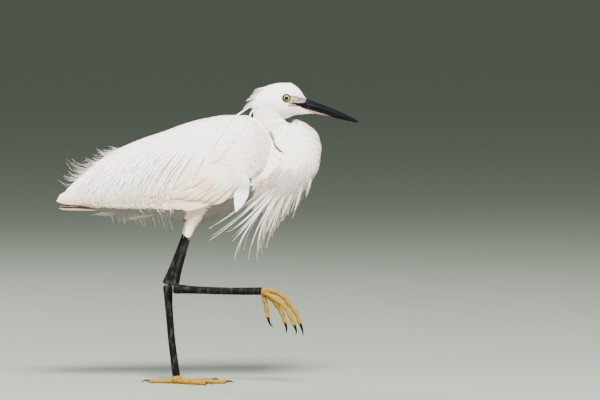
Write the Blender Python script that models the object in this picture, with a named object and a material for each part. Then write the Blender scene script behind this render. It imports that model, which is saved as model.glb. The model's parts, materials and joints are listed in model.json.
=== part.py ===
"""A little egret, life size, as a still model: it stands on its left leg, right foot lifted, neck drawn in.

Metres, +Z up. The bill points along +X and the bird's left is +Y. The origin is the middle of the standing
foot's sole, at floor level. The body is one smooth form, parted with thin cuts into torso, mantle and wings.
Flight feathers and long plumes are flat vanes, each fused into the node that it grows from.
"""

import math
import random

import bmesh
import bpy
import numpy as np
from mathutils import Matrix, Vector

random.seed(11)

SOLVER = "MANIFOLD"
GAP = 0.0003
RIGHT, LEFT = -1, 1

# Body: one rounded form, tail to shoulder. The cover is the depth of wings and mantle over the torso.
TAIL_END = -0.153
RUMP_END = -0.112
NOSE_START = 0.090
NOSE_LENGTH = 0.034
TAIL_ROUND = 0.014
COVER = 0.007
MANTLE_RISE = 0.0012
BODY_SIDES = 20
CORE_SIDES = 14
BODY_SQUARENESS = 2.2

# Head and bill.
EYE_CENTRE = Vector((0.1408, 0.0124, 0.3662))
EYE_RADIUS = 0.0048
LID_RADIUS = 0.0046
LID_THICKNESS = 0.0010
BILL_BASE = 0.156
BILL_TIP = 0.2334
LOWER_TIP = 0.2327
GAPE = 0.1455
MOUTH_END = 0.160
NOSTRIL = Vector((0.1795, 0.0052, 0.3562))
NOSTRIL_RADII = Vector((0.0042, 0.0012, 0.0006))
NOSTRIL_SLOPE = 0.30

# Feathers.
VANE_THICKNESS = 0.0008
PLUME_THICKNESS = 0.0007
SHINGLE_LIFT = 0.0004
ROOT_DEPTH = 0.0012
PLUME_LIFT = 0.0042
NAPE_LIFT = 0.0050

# Legs: the middle of each ankle and foot.
STANDING_ANKLE = Vector((-0.0122, 0.010, 0.1286))
LIFTED_ANKLE = Vector((-0.0026, -0.0165, 0.1286))
LIFTED_PALM = Vector((0.1125, -0.0175, 0.1192))
TOE_RADIUS = 0.0031
CLAW_RADIUS = 0.0015


def curve(points):
    """A smooth function of x through the points, which doesn't overshoot them."""
    xs, ys = (np.array(axis, float) for axis in zip(*points))
    steps = np.diff(ys) / np.diff(xs)
    slopes = np.zeros(len(xs))
    slopes[0], slopes[-1] = steps[0], steps[-1]
    for i in range(1, len(xs) - 1):
        if steps[i - 1] * steps[i] > 0:
            slopes[i] = 2 * steps[i - 1] * steps[i] / (steps[i - 1] + steps[i])

    def value(x):
        x = min(max(x, xs[0]), xs[-1])
        i = int(min(max(np.searchsorted(xs, x) - 1, 0), len(xs) - 2))
        width = xs[i + 1] - xs[i]
        t = (x - xs[i]) / width
        rise = (2 * t**3 - 3 * t**2 + 1) * ys[i] + (3 * t**2 - 2 * t**3) * ys[i + 1]
        turn = (t**3 - 2 * t**2 + t) * slopes[i] + (t**3 - t**2) * slopes[i + 1]
        return float(rise + width * turn)

    return value


def through(points, steps):
    """Points along a smooth path through the given ones, a few to each span (Catmull-Rom)."""
    rows = [np.array(p, float) for p in points]
    rows = [2 * rows[0] - rows[1], *rows, 2 * rows[-1] - rows[-2]]
    path = []
    for a, b, c, d in zip(rows, rows[1:], rows[2:], rows[3:]):
        for k in range(steps):
            t = k / steps
            bend = (2 * a - 5 * b + 4 * c - d) * t**2 + (3 * b - a - 3 * c + d) * t**3
            path.append(0.5 * (2 * b + (c - a) * t + bend))
    path.append(rows[-2])
    return path


def signed_power(value, power):
    return math.copysign(abs(value) ** power, value)


BACK = curve([
    (-0.153, 0.2415), (-0.1396, 0.2512), (-0.121, 0.2675), (-0.0992, 0.286), (-0.0749, 0.3008),
    (-0.048, 0.313), (-0.013, 0.325), (0.014, 0.3346), (0.0408, 0.3412), (0.0678, 0.3446), (0.0947, 0.3435),
    (0.124, 0.340),
])
UNDER = curve([
    (-0.153, 0.2272), (-0.14, 0.2255), (-0.12, 0.2205), (-0.10, 0.2135), (-0.07, 0.2095), (-0.02, 0.2075),
    (0.011, 0.203), (0.031, 0.201), (0.053, 0.2055), (0.0736, 0.214), (0.10, 0.225), (0.124, 0.238),
])
WIDEST = curve([
    (-0.153, 0.234), (-0.10, 0.2475), (-0.05, 0.262), (0.03, 0.277), (0.09, 0.288), (0.124, 0.290),
])
HALF_WIDTH = curve([
    (-0.153, 0.011), (-0.14, 0.0155), (-0.12, 0.022), (-0.09, 0.030), (-0.05, 0.0385), (-0.01, 0.0445),
    (0.03, 0.0485), (0.07, 0.0495), (0.10, 0.0465), (0.124, 0.042),
])

# Side view: the line between mantle and wing, and the wing's lower and front edge, from the tail forward.
MANTLE_EDGE = curve([
    (-0.153, 0.2345), (-0.13, 0.2395), (-0.085, 0.2555), (-0.034, 0.2705), (0.0, 0.2735), (0.03, 0.2765),
    (0.053, 0.283), (0.066, 0.2975), (0.0813, 0.3135), (0.0947, 0.3175), (0.131, 0.3165),
])
WING_EDGE = [
    (-0.1545, 0.2290), (-0.145, 0.2265), (-0.121, 0.2252), (-0.067, 0.2240), (0.003, 0.2227),
    (0.0365, 0.2240), (0.058, 0.2317), (0.0736, 0.2419), (0.0838, 0.2525), (0.094, 0.266), (0.1043, 0.275),
    (0.1158, 0.284), (0.131, 0.291),
]

# Places along the body where the mantle's edge bends, closer together over the shoulder.
EDGE_STOPS = (
    -0.1545, -0.130, -0.100, -0.070, -0.040, -0.010, 0.020, 0.035,
    0.048, 0.058, 0.066, 0.074, 0.083, 0.096, 0.112, 0.131,
)


def body_section(x, grow=0.0, rear=TAIL_END):
    """Widest height, extents up and down, and half width of the body at x, rounded off at nose and tail."""
    round_off = 1.0
    if x > NOSE_START:
        round_off = math.sqrt(max(0.0, 1 - ((x - NOSE_START) / (NOSE_LENGTH + grow)) ** 2))
    if x < rear + TAIL_ROUND:
        round_off = math.sqrt(max(0.0, 1 - ((rear + TAIL_ROUND - x) / TAIL_ROUND) ** 2))
    middle = WIDEST(x)
    extents = (BACK(x) - middle, middle - UNDER(x), HALF_WIDTH(x))
    return middle, *(max(0.0, extent + grow) * round_off for extent in extents)


def body_point(x, angle, grow=0.0, rear=TAIL_END):
    """The body's surface at x, with the angle measured in the section from the left side up."""
    middle, up, down, half = body_section(x, grow, rear)
    across = half * signed_power(math.cos(angle), 2 / BODY_SQUARENESS)
    rise = signed_power(math.sin(angle), 2 / BODY_SQUARENESS)
    return Vector((x, across, middle + rise * (up if rise > 0 else down)))


def body_outward(point):
    """The direction straight out of the body's surface near the point."""

    def level(p):
        x = min(max(p.x, TAIL_END + 0.004), NOSE_START + NOSE_LENGTH - 0.004)
        middle, up, down, half = body_section(x)
        height = up if p.z > middle else down
        return abs(p.y / half) ** BODY_SQUARENESS + abs((p.z - middle) / height) ** BODY_SQUARENESS

    step = 0.0004
    slope = [
        level(point + Vector(axis) * step) - level(point - Vector(axis) * step)
        for axis in ((1, 0, 0), (0, 1, 0), (0, 0, 1))
    ]
    return Vector(slope).normalized()


def on_side(x, z, side, lift):
    """The place on the body's side that shows at x, z in side view, raised off the surface by lift."""
    x = min(max(x, TAIL_END + 0.003), NOSE_START + NOSE_LENGTH - 0.003)
    middle, up, down, _ = body_section(x)
    height = up if z > middle else down
    share = min(max((z - middle) / height, -0.985), 0.985)
    angle = math.asin(signed_power(share, BODY_SQUARENESS / 2))
    point = body_point(x, angle if side == LEFT else math.pi - angle)
    outward = body_outward(point)
    return point + outward * lift, outward


def material(name, colour, roughness):
    made = bpy.data.materials.new(name)
    made.use_nodes = True
    shader = made.node_tree.nodes["Principled BSDF"]
    shader.inputs["Base Color"].default_value = (*colour, 1)
    shader.inputs["Roughness"].default_value = roughness
    made.diffuse_color = (*colour, 1)
    return made


def solid(name, points, faces):
    """A closed mesh object, with its faces turned outwards."""
    mesh = bpy.data.meshes.new(name)
    mesh.from_pydata([tuple(p) for p in points], [], faces)
    shape = bmesh.new()
    shape.from_mesh(mesh)
    bmesh.ops.recalc_face_normals(shape, faces=shape.faces)
    shape.to_mesh(mesh)
    shape.free()
    made = bpy.data.objects.new(name, mesh)
    bpy.context.scene.collection.objects.link(made)
    return made


def skin_rings(name, rings, start, end):
    """A solid skinned over rings of points, closed by a point at each end."""
    sides = len(rings[0])
    points = [p for ring in rings for p in ring] + [start, end]
    faces = []
    for i in range(len(rings) - 1):
        for k in range(sides):
            low, high = i * sides, (i + 1) * sides
            beside = (k + 1) % sides
            faces.append((low + k, low + beside, high + beside))
            faces.append((low + k, high + beside, high + k))
    first, last = len(points) - 2, len(points) - 1
    top = (len(rings) - 1) * sides
    for k in range(sides):
        faces.append((first, (k + 1) % sides, k))
        faces.append((last, top + k, top + (k + 1) % sides))
    return solid(name, points, faces)


def limb(name, stations, sides=10, steps=2, grow=0.0):
    """A rounded tube through stations (x, y, z, depth, breadth): depth lies in the bird's side view."""
    rows = through(stations, steps)
    centres = [Vector(row[:3]) for row in rows]
    rings = []
    for i, row in enumerate(rows):
        along = (centres[min(i + 1, len(rows) - 1)] - centres[max(i - 1, 0)]).normalized()
        across = (Vector((0, 1, 0)) - along * along.y).normalized()
        up = along.cross(across)
        breadth, depth = across * (row[4] + grow), up * (row[3] + grow)
        turns = [2 * math.pi * k / sides for k in range(sides)]
        rings.append([centres[i] + breadth * math.cos(a) + depth * math.sin(a) for a in turns])
    start_along = (centres[0] - centres[1]).normalized()
    end_along = (centres[-1] - centres[-2]).normalized()
    start_radius, end_radius = rows[0][4] + grow, rows[-1][4] + grow
    ends = []
    for centre, along, radius, ring in (
        (centres[0], start_along, start_radius, rings[0]),
        (centres[-1], end_along, end_radius, rings[-1]),
    ):
        shrunk = [centre + (p - centre) * 0.7 + along * radius * 0.5 for p in ring]
        ends.append((shrunk, centre + along * radius * 0.75))
    rings = [ends[0][0], *rings, ends[1][0]]
    return skin_rings(name, rings, ends[0][1], ends[1][1])


def vane(name, stations, thickness):
    """A flat feather through stations (centre, outward, width, tilt), both faces triangulated alike."""
    count = len(stations)
    points = []
    for i, (centre, outward, width, tilt) in enumerate(stations):
        along = (stations[min(i + 1, count - 1)][0] - stations[max(i - 1, 0)][0]).normalized()
        across = along.cross(outward).normalized()
        face = across.cross(along).normalized()
        lean = across * math.cos(tilt) + face * math.sin(tilt)
        normal = face * math.cos(tilt) - across * math.sin(tilt)
        depth = thickness * (0.6 if i == count - 1 else 1.0) / 2
        for wide, deep in ((-1, -1), (1, -1), (1, 1), (-1, 1)):
            points.append(centre + lean * wide * width / 2 + normal * deep * depth)
    faces = [(0, 1, 2), (0, 2, 3)]
    for i in range(count - 1):
        a, b = 4 * i, 4 * i + 4
        faces += [(a, b, b + 1), (a, b + 1, a + 1)]
        faces += [(a + 3, b + 2, b + 3), (a + 3, a + 2, b + 2)]
        faces += [(a, a + 3, b + 3), (a, b + 3, b)]
        faces += [(a + 1, b + 1, b + 2), (a + 1, b + 2, a + 2)]
    last = 4 * (count - 1)
    faces += [(last, last + 2, last + 1), (last, last + 3, last + 2)]
    return solid(name, points, faces)


def slab(name, outline, near, far):
    """A plate of the given side-view outline, from y near to y far."""
    points = [Vector((x, y, z)) for y in (near, far) for x, z in outline]
    count = len(outline)
    faces = [tuple(range(count)), tuple(range(2 * count - 1, count - 1, -1))]
    faces += [(i, i + count, (i + 1) % count + count, (i + 1) % count) for i in range(count)]
    return solid(name, points, faces)


def ball(name, centre, radii, subdivisions=2):
    """A round or stretched ball."""
    shape = bmesh.new()
    bmesh.ops.create_icosphere(shape, subdivisions=subdivisions, radius=1.0)
    bmesh.ops.scale(shape, vec=radii, verts=shape.verts)
    bmesh.ops.translate(shape, vec=centre, verts=shape.verts)
    mesh = bpy.data.meshes.new(name)
    shape.to_mesh(mesh)
    shape.free()
    made = bpy.data.objects.new(name, mesh)
    bpy.context.scene.collection.objects.link(made)
    return made


def lid_ring(centre):
    """The raised rim of both lids, a ring round the eye facing sideways."""
    around, section = 14, 4
    points, faces = [], []
    for i in range(around):
        a = 2 * math.pi * i / around
        for k in range(section):
            b = 2 * math.pi * k / section
            reach = LID_RADIUS + LID_THICKNESS * math.cos(b)
            proud = LID_THICKNESS * math.sin(b)
            points.append(centre + Vector((reach * math.cos(a), proud, reach * math.sin(a))))
            here, there = i * section, (i + 1) % around * section
            faces.append((here + k, here + (k + 1) % section, there + (k + 1) % section, there + k))
    return solid("lids", points, faces)


def remove(made):
    mesh = made.data
    bpy.data.objects.remove(made)
    bpy.data.meshes.remove(mesh)


def keep_largest(made):
    """Drops every closed surface but the largest."""
    shape = bmesh.new()
    shape.from_mesh(made.data)
    unseen, groups = set(shape.faces), []
    while unseen:
        edge_of = [unseen.pop()]
        group = set(edge_of)
        while edge_of:
            for edge in edge_of.pop().edges:
                for face in edge.link_faces:
                    if face in unseen:
                        unseen.discard(face)
                        group.add(face)
                        edge_of.append(face)
        groups.append(group)
    largest = max(groups, key=lambda g: sum(f.calc_area() for f in g))
    bmesh.ops.delete(shape, geom=[f for f in shape.faces if f not in largest], context="FACES")
    bmesh.ops.triangulate(shape, faces=shape.faces)
    shape.to_mesh(made.data)
    shape.free()


def bake(made):
    """Turns the object's modifiers into its mesh."""
    graph = bpy.context.evaluated_depsgraph_get()
    mesh = bpy.data.meshes.new_from_object(made.evaluated_get(graph))
    old = made.data
    made.modifiers.clear()
    made.data = mesh
    bpy.data.meshes.remove(old)
    keep_largest(made)


def shaped(made, operation, *others):
    """Cuts the object by others, or keeps what it shares with them, and removes them."""
    for other in others:
        cut = made.modifiers.new("cut", "BOOLEAN")
        cut.operation = operation
        cut.object = other
        cut.solver = SOLVER
    bake(made)
    for other in others:
        remove(other)
    return made


def fuse(made, pieces):
    """Joins pieces into the object, as one closed body."""
    group = bpy.data.collections.new("pieces")
    bpy.context.scene.collection.children.link(group)
    for piece in pieces:
        bpy.context.scene.collection.objects.unlink(piece)
        group.objects.link(piece)
    join = made.modifiers.new("join", "BOOLEAN")
    join.operation = "UNION"
    join.operand_type = "COLLECTION"
    join.collection = group
    join.solver = SOLVER
    bake(made)
    for piece in pieces:
        remove(piece)
    bpy.data.collections.remove(group)
    return made


def finish(made, look, smooth=True):
    made.data.materials.clear()
    made.data.materials.append(look)
    if smooth:
        made.data.shade_smooth()
        made.data.set_sharp_from_angle(angle=math.radians(40))
    return made


def body_core(name, grow=0.0):
    """The trunk under the feather cover, or the same grown all over."""
    return body_solid(name, grow - COVER, RUMP_END - grow, 6, CORE_SIDES)


def body_solid(name, grow=0.0, rear=TAIL_END, spans=8, sides=BODY_SIDES):
    """The body's rounded form, or the same shrunk or grown all over."""
    nose = NOSE_LENGTH + grow
    rounding = [math.sin(math.radians(a)) for a in (38, 62, 80)]
    xs = [rear + TAIL_ROUND * (1 - s) for s in reversed(rounding)]
    xs += list(np.linspace(rear + TAIL_ROUND, NOSE_START, spans))
    xs += [NOSE_START + nose * s for s in rounding]
    turns = [2 * math.pi * k / sides for k in range(sides)]
    rings = [[body_point(x, a, grow, rear) for a in turns] for x in xs]
    ends = [Vector((x, 0, WIDEST(x))) for x in (rear, NOSE_START + nose)]
    return skin_rings(name, rings, *ends)


def wing_outline(widen):
    """Side-view outline of a folded wing, with its edges moved out by widen."""
    lower = [(x, z - widen) for x, z in WING_EDGE]
    return lower + [(x, MANTLE_EDGE(x) - GAP + widen) for x in reversed(EDGE_STOPS)]


def above_wing(name, rise):
    """Everything higher than the line where the mantle meets the wings, or that line raised."""
    outline = [(EDGE_STOPS[0], 0.37), (EDGE_STOPS[-1], 0.37)]
    outline += [(x, MANTLE_EDGE(x) + rise) for x in reversed(EDGE_STOPS)]
    return slab(name, outline, -0.08, 0.08)


def wing_base(name, side, grow=0.0):
    """The folded wing as a shell on the body's side, between the mantle's edge and its own lower edge."""
    inner = 0.0002 - grow
    base = slab(name, wing_outline(grow), side * inner, side * 0.08)
    return shaped(base, "INTERSECT", body_solid("form", grow))


def head_loft(name, grow=0.0):
    """The feathered head, nape to the root of the bill."""
    crown = curve([
        (0.0965, 0.358), (0.099, 0.3645), (0.1056, 0.3738), (0.1189, 0.3831), (0.135, 0.3858),
        (0.1458, 0.3856), (0.1567, 0.379), (0.1633, 0.3695), (0.167, 0.3650), (0.173, 0.3565),
    ])
    throat = curve([
        (0.0965, 0.352), (0.105, 0.345), (0.12, 0.3405), (0.139, 0.3395), (0.15, 0.343), (0.162, 0.3462),
        (0.173, 0.3480),
    ])
    half = curve([
        (0.0965, 0.005), (0.10, 0.0105), (0.11, 0.0150), (0.12, 0.0170), (0.135, 0.0172), (0.1408, 0.0165),
        (0.15, 0.0138), (0.16, 0.0108), (0.167, 0.0088), (0.173, 0.0060),
    ])
    rings = []
    sides = 18
    for x in (0.0965, 0.0985, 0.103, 0.110, 0.118, 0.127, 0.136, 0.145, 0.153, 0.159, 0.1645, 0.1710):
        middle = throat(x) + 0.46 * (crown(x) - throat(x))
        ring = []
        for k in range(sides):
            a = 2 * math.pi * k / sides
            reach = (crown(x) - middle if math.sin(a) > 0 else middle - throat(x)) + grow
            ring.append(Vector((x, (half(x) + grow) * math.cos(a), middle + reach * math.sin(a))))
        rings.append(ring)
    ends = (Vector((0.0950 - grow, 0, 0.3552)), Vector((0.1745 + grow, 0, 0.3525)))
    return skin_rings(name, rings, *ends)


BILL_TOP = curve([
    (0.15, 0.3675), (0.1675, 0.3648), (0.1816, 0.3593), (0.1947, 0.3543), (0.2078, 0.3491), (0.2208, 0.3430),
    (0.2286, 0.3388), (0.2334, 0.3353),
])
MOUTH = curve([
    (0.145, 0.3583), (0.1599, 0.3564), (0.1712, 0.3541), (0.1869, 0.3500), (0.2, 0.3454), (0.213, 0.3408),
    (0.2286, 0.3364), (0.2334, 0.3349),
])
BILL_BOTTOM = curve([
    (0.15, 0.3532), (0.162, 0.3502), (0.1764, 0.3465), (0.1947, 0.3425), (0.2078, 0.3394), (0.2208, 0.3366),
    (0.2286, 0.3350), (0.2334, 0.3341),
])
BILL_HALF = curve([
    (0.15, 0.0078), (0.166, 0.0076), (0.1837, 0.0058), (0.2093, 0.0037), (0.2208, 0.0026), (0.2334, 0.0005),
])


def mandible(name, edge, tip, grow=0.0):
    """One half of the bill: flat along the mouth line, round outside."""
    half_gap = GAP / 2
    sides, rings = 8, []
    for x in (BILL_BASE - grow, 0.166, 0.178, 0.192, 0.207, 0.221, tip - 0.002):
        outer = edge(x)
        away = 1 if outer > MOUTH(x) else -1
        inner = MOUTH(x) + away * (half_gap - grow)
        half, height = BILL_HALF(x) + grow, outer + away * grow - inner
        turns = [math.pi * k / (sides - 1) for k in range(sides)]
        rings.append([Vector((x, half * math.cos(a), inner + height * math.sin(a))) for a in turns])
    start = Vector((BILL_BASE - 2 * grow, 0, (edge(BILL_BASE) + MOUTH(BILL_BASE)) / 2))
    return skin_rings(name, rings, start, Vector((tip + grow, 0, (edge(tip) + 2 * MOUTH(tip)) / 3)))


def neck_loft(name, grow=0.0):
    """The drawn-in neck: a short column from the head down into the fold."""
    stations = [
        (0.1165, 0, 0.3520, 0.0195, 0.0160), (0.1190, 0, 0.3430, 0.0192, 0.0160),
        (0.1255, 0, 0.3315, 0.0160, 0.0152), (0.1345, 0, 0.3150, 0.0150, 0.0150),
        (0.1420, 0, 0.3000, 0.0130, 0.0140), (0.1480, 0, 0.2900, 0.0090, 0.0100),
    ]
    return limb(name, stations, sides=14, steps=2, grow=grow)


BREAST_FRONT = curve([
    (0.222, 0.128), (0.232, 0.150), (0.243, 0.1655), (0.2534, 0.1730), (0.2675, 0.1795), (0.28, 0.1838),
    (0.302, 0.1852), (0.3183, 0.1812), (0.3264, 0.1752), (0.3323, 0.1672), (0.336, 0.1615), (0.3385, 0.1565),
])
BREAST_REAR = curve([
    (0.222, 0.106), (0.243, 0.095), (0.27, 0.098), (0.30, 0.108), (0.318, 0.124), (0.328, 0.1345),
    (0.3345, 0.1440), (0.3385, 0.1535),
])
BREAST_HALF = curve([
    (0.222, 0.010), (0.232, 0.024), (0.245, 0.033), (0.265, 0.036), (0.285, 0.033), (0.305, 0.0275),
    (0.32, 0.0225), (0.332, 0.0155), (0.339, 0.007),
])


def breast_point(z, angle, grow=0.0):
    """The front neck's surface at height z, with the angle measured from dead ahead towards the left."""
    middle = (BREAST_FRONT(z) + BREAST_REAR(z)) / 2
    depth = (BREAST_FRONT(z) - BREAST_REAR(z)) / 2 + grow
    return Vector((middle + depth * math.cos(angle), (BREAST_HALF(z) + grow) * math.sin(angle), z))


def breast_loft(name, grow=0.0):
    sides = 16
    heights = (0.2225, 0.228, 0.239, 0.254, 0.271, 0.289, 0.305, 0.319, 0.330, 0.337)
    rings = [[breast_point(z, 2 * math.pi * k / sides, grow) for k in range(sides)] for z in heights]
    return skin_rings(name, rings, Vector((0.117, 0, 0.2205 - grow)), Vector((0.1555, 0, 0.3388 + grow)))


def thigh_loft(name, side, grow=0.0):
    """The feathered upper leg, from inside the belly to where the bare skin starts."""
    if side == RIGHT:
        stations = [
            (0.034, -0.017, 0.240, 0.0165, 0.0140), (0.0262, -0.017, 0.2210, 0.0118, 0.0110),
            (0.0192, -0.017, 0.2050, 0.0080, 0.0075), (0.0152, -0.0168, 0.1930, 0.0058, 0.0056),
        ]
    else:
        stations = [
            (0.030, 0.017, 0.240, 0.0165, 0.0140), (0.0225, 0.0165, 0.2210, 0.0118, 0.0110),
            (0.0160, 0.0160, 0.2050, 0.0080, 0.0075), (0.0125, 0.0155, 0.1930, 0.0058, 0.0056),
        ]
    return limb(name, stations, sides=12, steps=2, grow=grow)


def shin_loft(name, side, grow=0.0):
    """The bare lower half of the shin, swelling into the ankle."""
    if side == RIGHT:
        ankle, knee = LIFTED_ANKLE, Vector((0.0150, -0.0168, 0.1925))
    else:
        ankle, knee = STANDING_ANKLE, Vector((0.0123, 0.0155, 0.1925))
    sizes = [
        (0.0, 0.0043, 0.0038), (0.35, 0.0044, 0.0037), (0.7, 0.0047, 0.0038), (0.88, 0.0056, 0.0046),
        (1.0, 0.0060, 0.0052),
    ]
    stations = [(*knee.lerp(ankle, share), depth, breadth) for share, depth, breadth in sizes]
    return limb(name, stations, sides=10, steps=1, grow=grow)


def shank_loft(name, side, grow=0.0):
    """The long bone from ankle to toes: upright on the left, held level on the right."""
    if side == RIGHT:
        ankle, foot = LIFTED_ANKLE + Vector((0.0022, 0, -0.0068)), LIFTED_PALM + Vector((-0.0035, 0, 0.0006))
        bend = Vector((0, 0, -0.0012))
    else:
        ankle, foot = STANDING_ANKLE + Vector((0.0008, 0, -0.0062)), Vector((-0.0004, 0, 0.0125))
        bend = Vector((-0.0016, 0, 0))
    sizes = [
        (0.0, 0.0062, 0.0054), (0.09, 0.0054, 0.0046), (0.25, 0.0045, 0.0036), (0.6, 0.0043, 0.0034),
        (0.92, 0.0044, 0.0038), (1.0, 0.0046, 0.0042),
    ]
    stations = []
    for share, depth, breadth in sizes:
        centre = ankle.lerp(foot, share) + bend * math.sin(math.pi * share)
        stations.append((*centre, depth, breadth))
    return limb(name, stations, sides=10, steps=1, grow=grow)


def digit_stations(path, radius):
    """Stations along a toe, swollen at each joint and slightly thinner towards the claw."""
    rows = through(path, 2)
    stations = []
    for i, centre in enumerate(rows):
        share = i / (len(rows) - 1)
        swell = 1.09 if i % 2 == 0 else 0.93
        size = radius * (1 - 0.18 * share) * swell
        stations.append((*centre, size, size * 0.94))
    return stations


def claw(name, base, mid, tip, radius):
    """A horn claw, drawn out to a point along a bend."""
    stations = []
    for place, share in ((base, 1.0), (mid, 0.57), (tip, 0.0)):
        stations.append((*place, radius * share + 0.0003, radius * 0.8 * share + 0.0003))
    return limb(name, stations, sides=5, steps=1)


def build_head(looks):
    """Head with lids, eye sockets, mouth line, crest and nape plumes, then the bill's halves and the eyes."""
    head = head_loft("head")
    lids = []
    for side in (RIGHT, LEFT):
        centre = Vector((EYE_CENTRE.x, side * (EYE_CENTRE.y + 0.0026), EYE_CENTRE.z))
        lids.append(lid_ring(centre))
    fuse(head, lids + crest() + nape_plumes())
    corners = ((GAPE, GAP), (MOUTH_END, GAP), (MOUTH_END, -GAP), (GAPE, -GAP))
    cutters = [
        mandible("socket", BILL_TOP, BILL_TIP, GAP), mandible("socket", BILL_BOTTOM, LOWER_TIP, GAP),
        slab("mouth", [(x, MOUTH(x) + rise) for x, rise in corners], -0.03, 0.03),
    ]
    for side in (RIGHT, LEFT):
        centre = Vector((EYE_CENTRE.x, side * EYE_CENTRE.y, EYE_CENTRE.z))
        cutters.append(ball("socket", centre, Vector((EYE_RADIUS + GAP,) * 3)))
    shaped(head, "DIFFERENCE", *cutters)
    finish(head, looks["white"])
    upper = mandible("bill_upper", BILL_TOP, BILL_TIP)
    nostrils = []
    for side in (RIGHT, LEFT):
        slit = ball("nostril", Vector((0, 0, 0)), NOSTRIL_RADII, 1)
        slit.data.transform(Matrix.Rotation(NOSTRIL_SLOPE, 4, "Y"))
        slit.data.transform(Matrix.Translation((NOSTRIL.x, side * NOSTRIL.y, NOSTRIL.z)))
        nostrils.append(slit)
    finish(shaped(upper, "DIFFERENCE", *nostrils), looks["bill"])
    finish(mandible("bill_lower", BILL_BOTTOM, LOWER_TIP), looks["bill"])
    for side, name in ((RIGHT, "eye_right"), (LEFT, "eye_left")):
        centre = Vector((EYE_CENTRE.x, side * EYE_CENTRE.y, EYE_CENTRE.z))
        finish(ball(name, centre, Vector((EYE_RADIUS,) * 3)), looks["eye"])


def crest():
    """Short pointed feathers that stand off the nape."""
    made = []
    for k in range(6):
        share = k / 5
        spread = (k % 3 - 1) * 0.0045
        root = Vector((0.108 - 0.004 * share, spread, 0.373 - 0.010 * share))
        tip = Vector((0.0975 - 0.003 * share + abs(spread) * 0.4, spread * 1.3, 0.3655 - 0.013 * share))
        out = Vector((-0.7, spread * 40, 0.7)).normalized()
        stations = []
        for s, width in ((0, 0.005), (0.5, 0.0042), (1, 0.0009)):
            stations.append((root.lerp(tip, s) + out * 0.0008 * math.sin(math.pi * s), out, width, 0.0))
        made.append(vane("crest", stations, PLUME_THICKNESS))
    return made


def nape_plumes():
    """Two long narrow plumes from the nape, one trailing back over the mantle and one over the shoulder."""
    over_mantle = [(0.0787, 0.3447), (0.0690, 0.3355), (0.0600, 0.3220), (0.0505, 0.3070), (0.0454, 0.2970)]
    over_shoulder = [(0.0935, 0.3400), (0.0952, 0.3277), (0.1000, 0.3090), (0.1065, 0.2920)]
    made = []
    for root, out, route in (
        (Vector((0.1050, -0.003, 0.3600)), Vector((-0.6, -0.3, 0.7)), over_mantle),
        (Vector((0.1045, -0.006, 0.3540)), Vector((-0.7, -0.6, 0.2)), over_shoulder),
    ):
        places = [(root, out)] + [on_side(x, z, RIGHT, NAPE_LIFT) for x, z in route]
        smooth = through([tuple(place) for place, _ in places], 2)
        stations = []
        for i, centre in enumerate(smooth):
            share = i / (len(smooth) - 1)
            outward = places[min((i + 1) // 2, len(places) - 1)][1]
            stations.append((Vector(centre), outward, 0.0021 * (1 - 0.6 * share), 0.0))
        made.append(vane("nape_plume", stations, PLUME_THICKNESS))
    return made


def feather_tier(side, count, roots, tips, width, bow=0.0):
    """A row of overlapping feathers on the wing, tilted like shingles: each lower edge lies over the next.

    Roots and tips are the two ends of a line each, in side view.
    """
    root_line, tip_line = (tuple(Vector(end) for end in line) for line in (roots, tips))
    step = (root_line[1] - root_line[0] + tip_line[1] - tip_line[0]) / (2 * count)
    run = (tip_line[0] - root_line[0] + tip_line[1] - root_line[1]).normalized()
    spacing = abs(step.x * run.y - step.y * run.x)
    tilt = math.asin(min(0.34, (VANE_THICKNESS + GAP) / spacing))
    height = SHINGLE_LIFT + width / 2 * math.sin(tilt)
    shape = ((0.0, 0.55, -ROOT_DEPTH), (0.32, 0.95, height), (0.82, 0.92, height), (1.0, 0.35, height))
    made = []
    for k in range(count):
        share = (k + 0.5) / count
        start, end = root_line[0].lerp(root_line[1], share), tip_line[0].lerp(tip_line[1], share)
        wobble = random.uniform(-0.0012, 0.0012)
        stations = []
        for s, wide, rise in shape:
            place = start.lerp(end, s) + Vector((wobble * s, -bow * math.sin(math.pi * s)))
            centre, outward = on_side(place.x, place.y, side, rise)
            stations.append((centre, outward, width * wide, tilt * side))
        made.append(vane("feather", stations, VANE_THICKNESS))
    return made


# Each tier of the wing, in side view: count, both ends of the lines of roots and of tips, width and bow.
PRIMARIES = (3, ((-0.078, 0.2285), (-0.088, 0.2440)), ((-0.1545, 0.2285), (-0.1525, 0.2405)), 0.0075, 0.0)
SECONDARIES = (6, ((0.030, 0.2350), (-0.062, 0.2500)), ((-0.040, 0.2250), (-0.139, 0.2300)), 0.0095, 0.002)
GREATER_COVERTS = (6, ((0.054, 0.2520), (-0.026, 0.2580)), ((0.026, 0.2285), (-0.058, 0.2430)), 0.0118, 0.002)
MEDIAN_COVERTS = (5, ((0.072, 0.2740), (0.012, 0.2690)), ((0.050, 0.2440), (-0.016, 0.2520)), 0.0135, 0.002)


def build_wing(name, side, looks):
    """A folded wing: its shell, flight feathers and coverts, and on the right the loose thumb feather."""
    wing = shaped(wing_base(name, side), "DIFFERENCE", body_core("core", GAP), neck_loft("neck", GAP))
    vanes = []
    for tier in (PRIMARIES, SECONDARIES, GREATER_COVERTS, MEDIAN_COVERTS):
        vanes += feather_tier(side, *tier)
    if side == RIGHT:
        vanes.append(thumb_feather(side))
    fuse(wing, vanes)
    finish(shaped(wing, "DIFFERENCE", above_wing("mantle", 0.0)), looks["white"])


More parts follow.
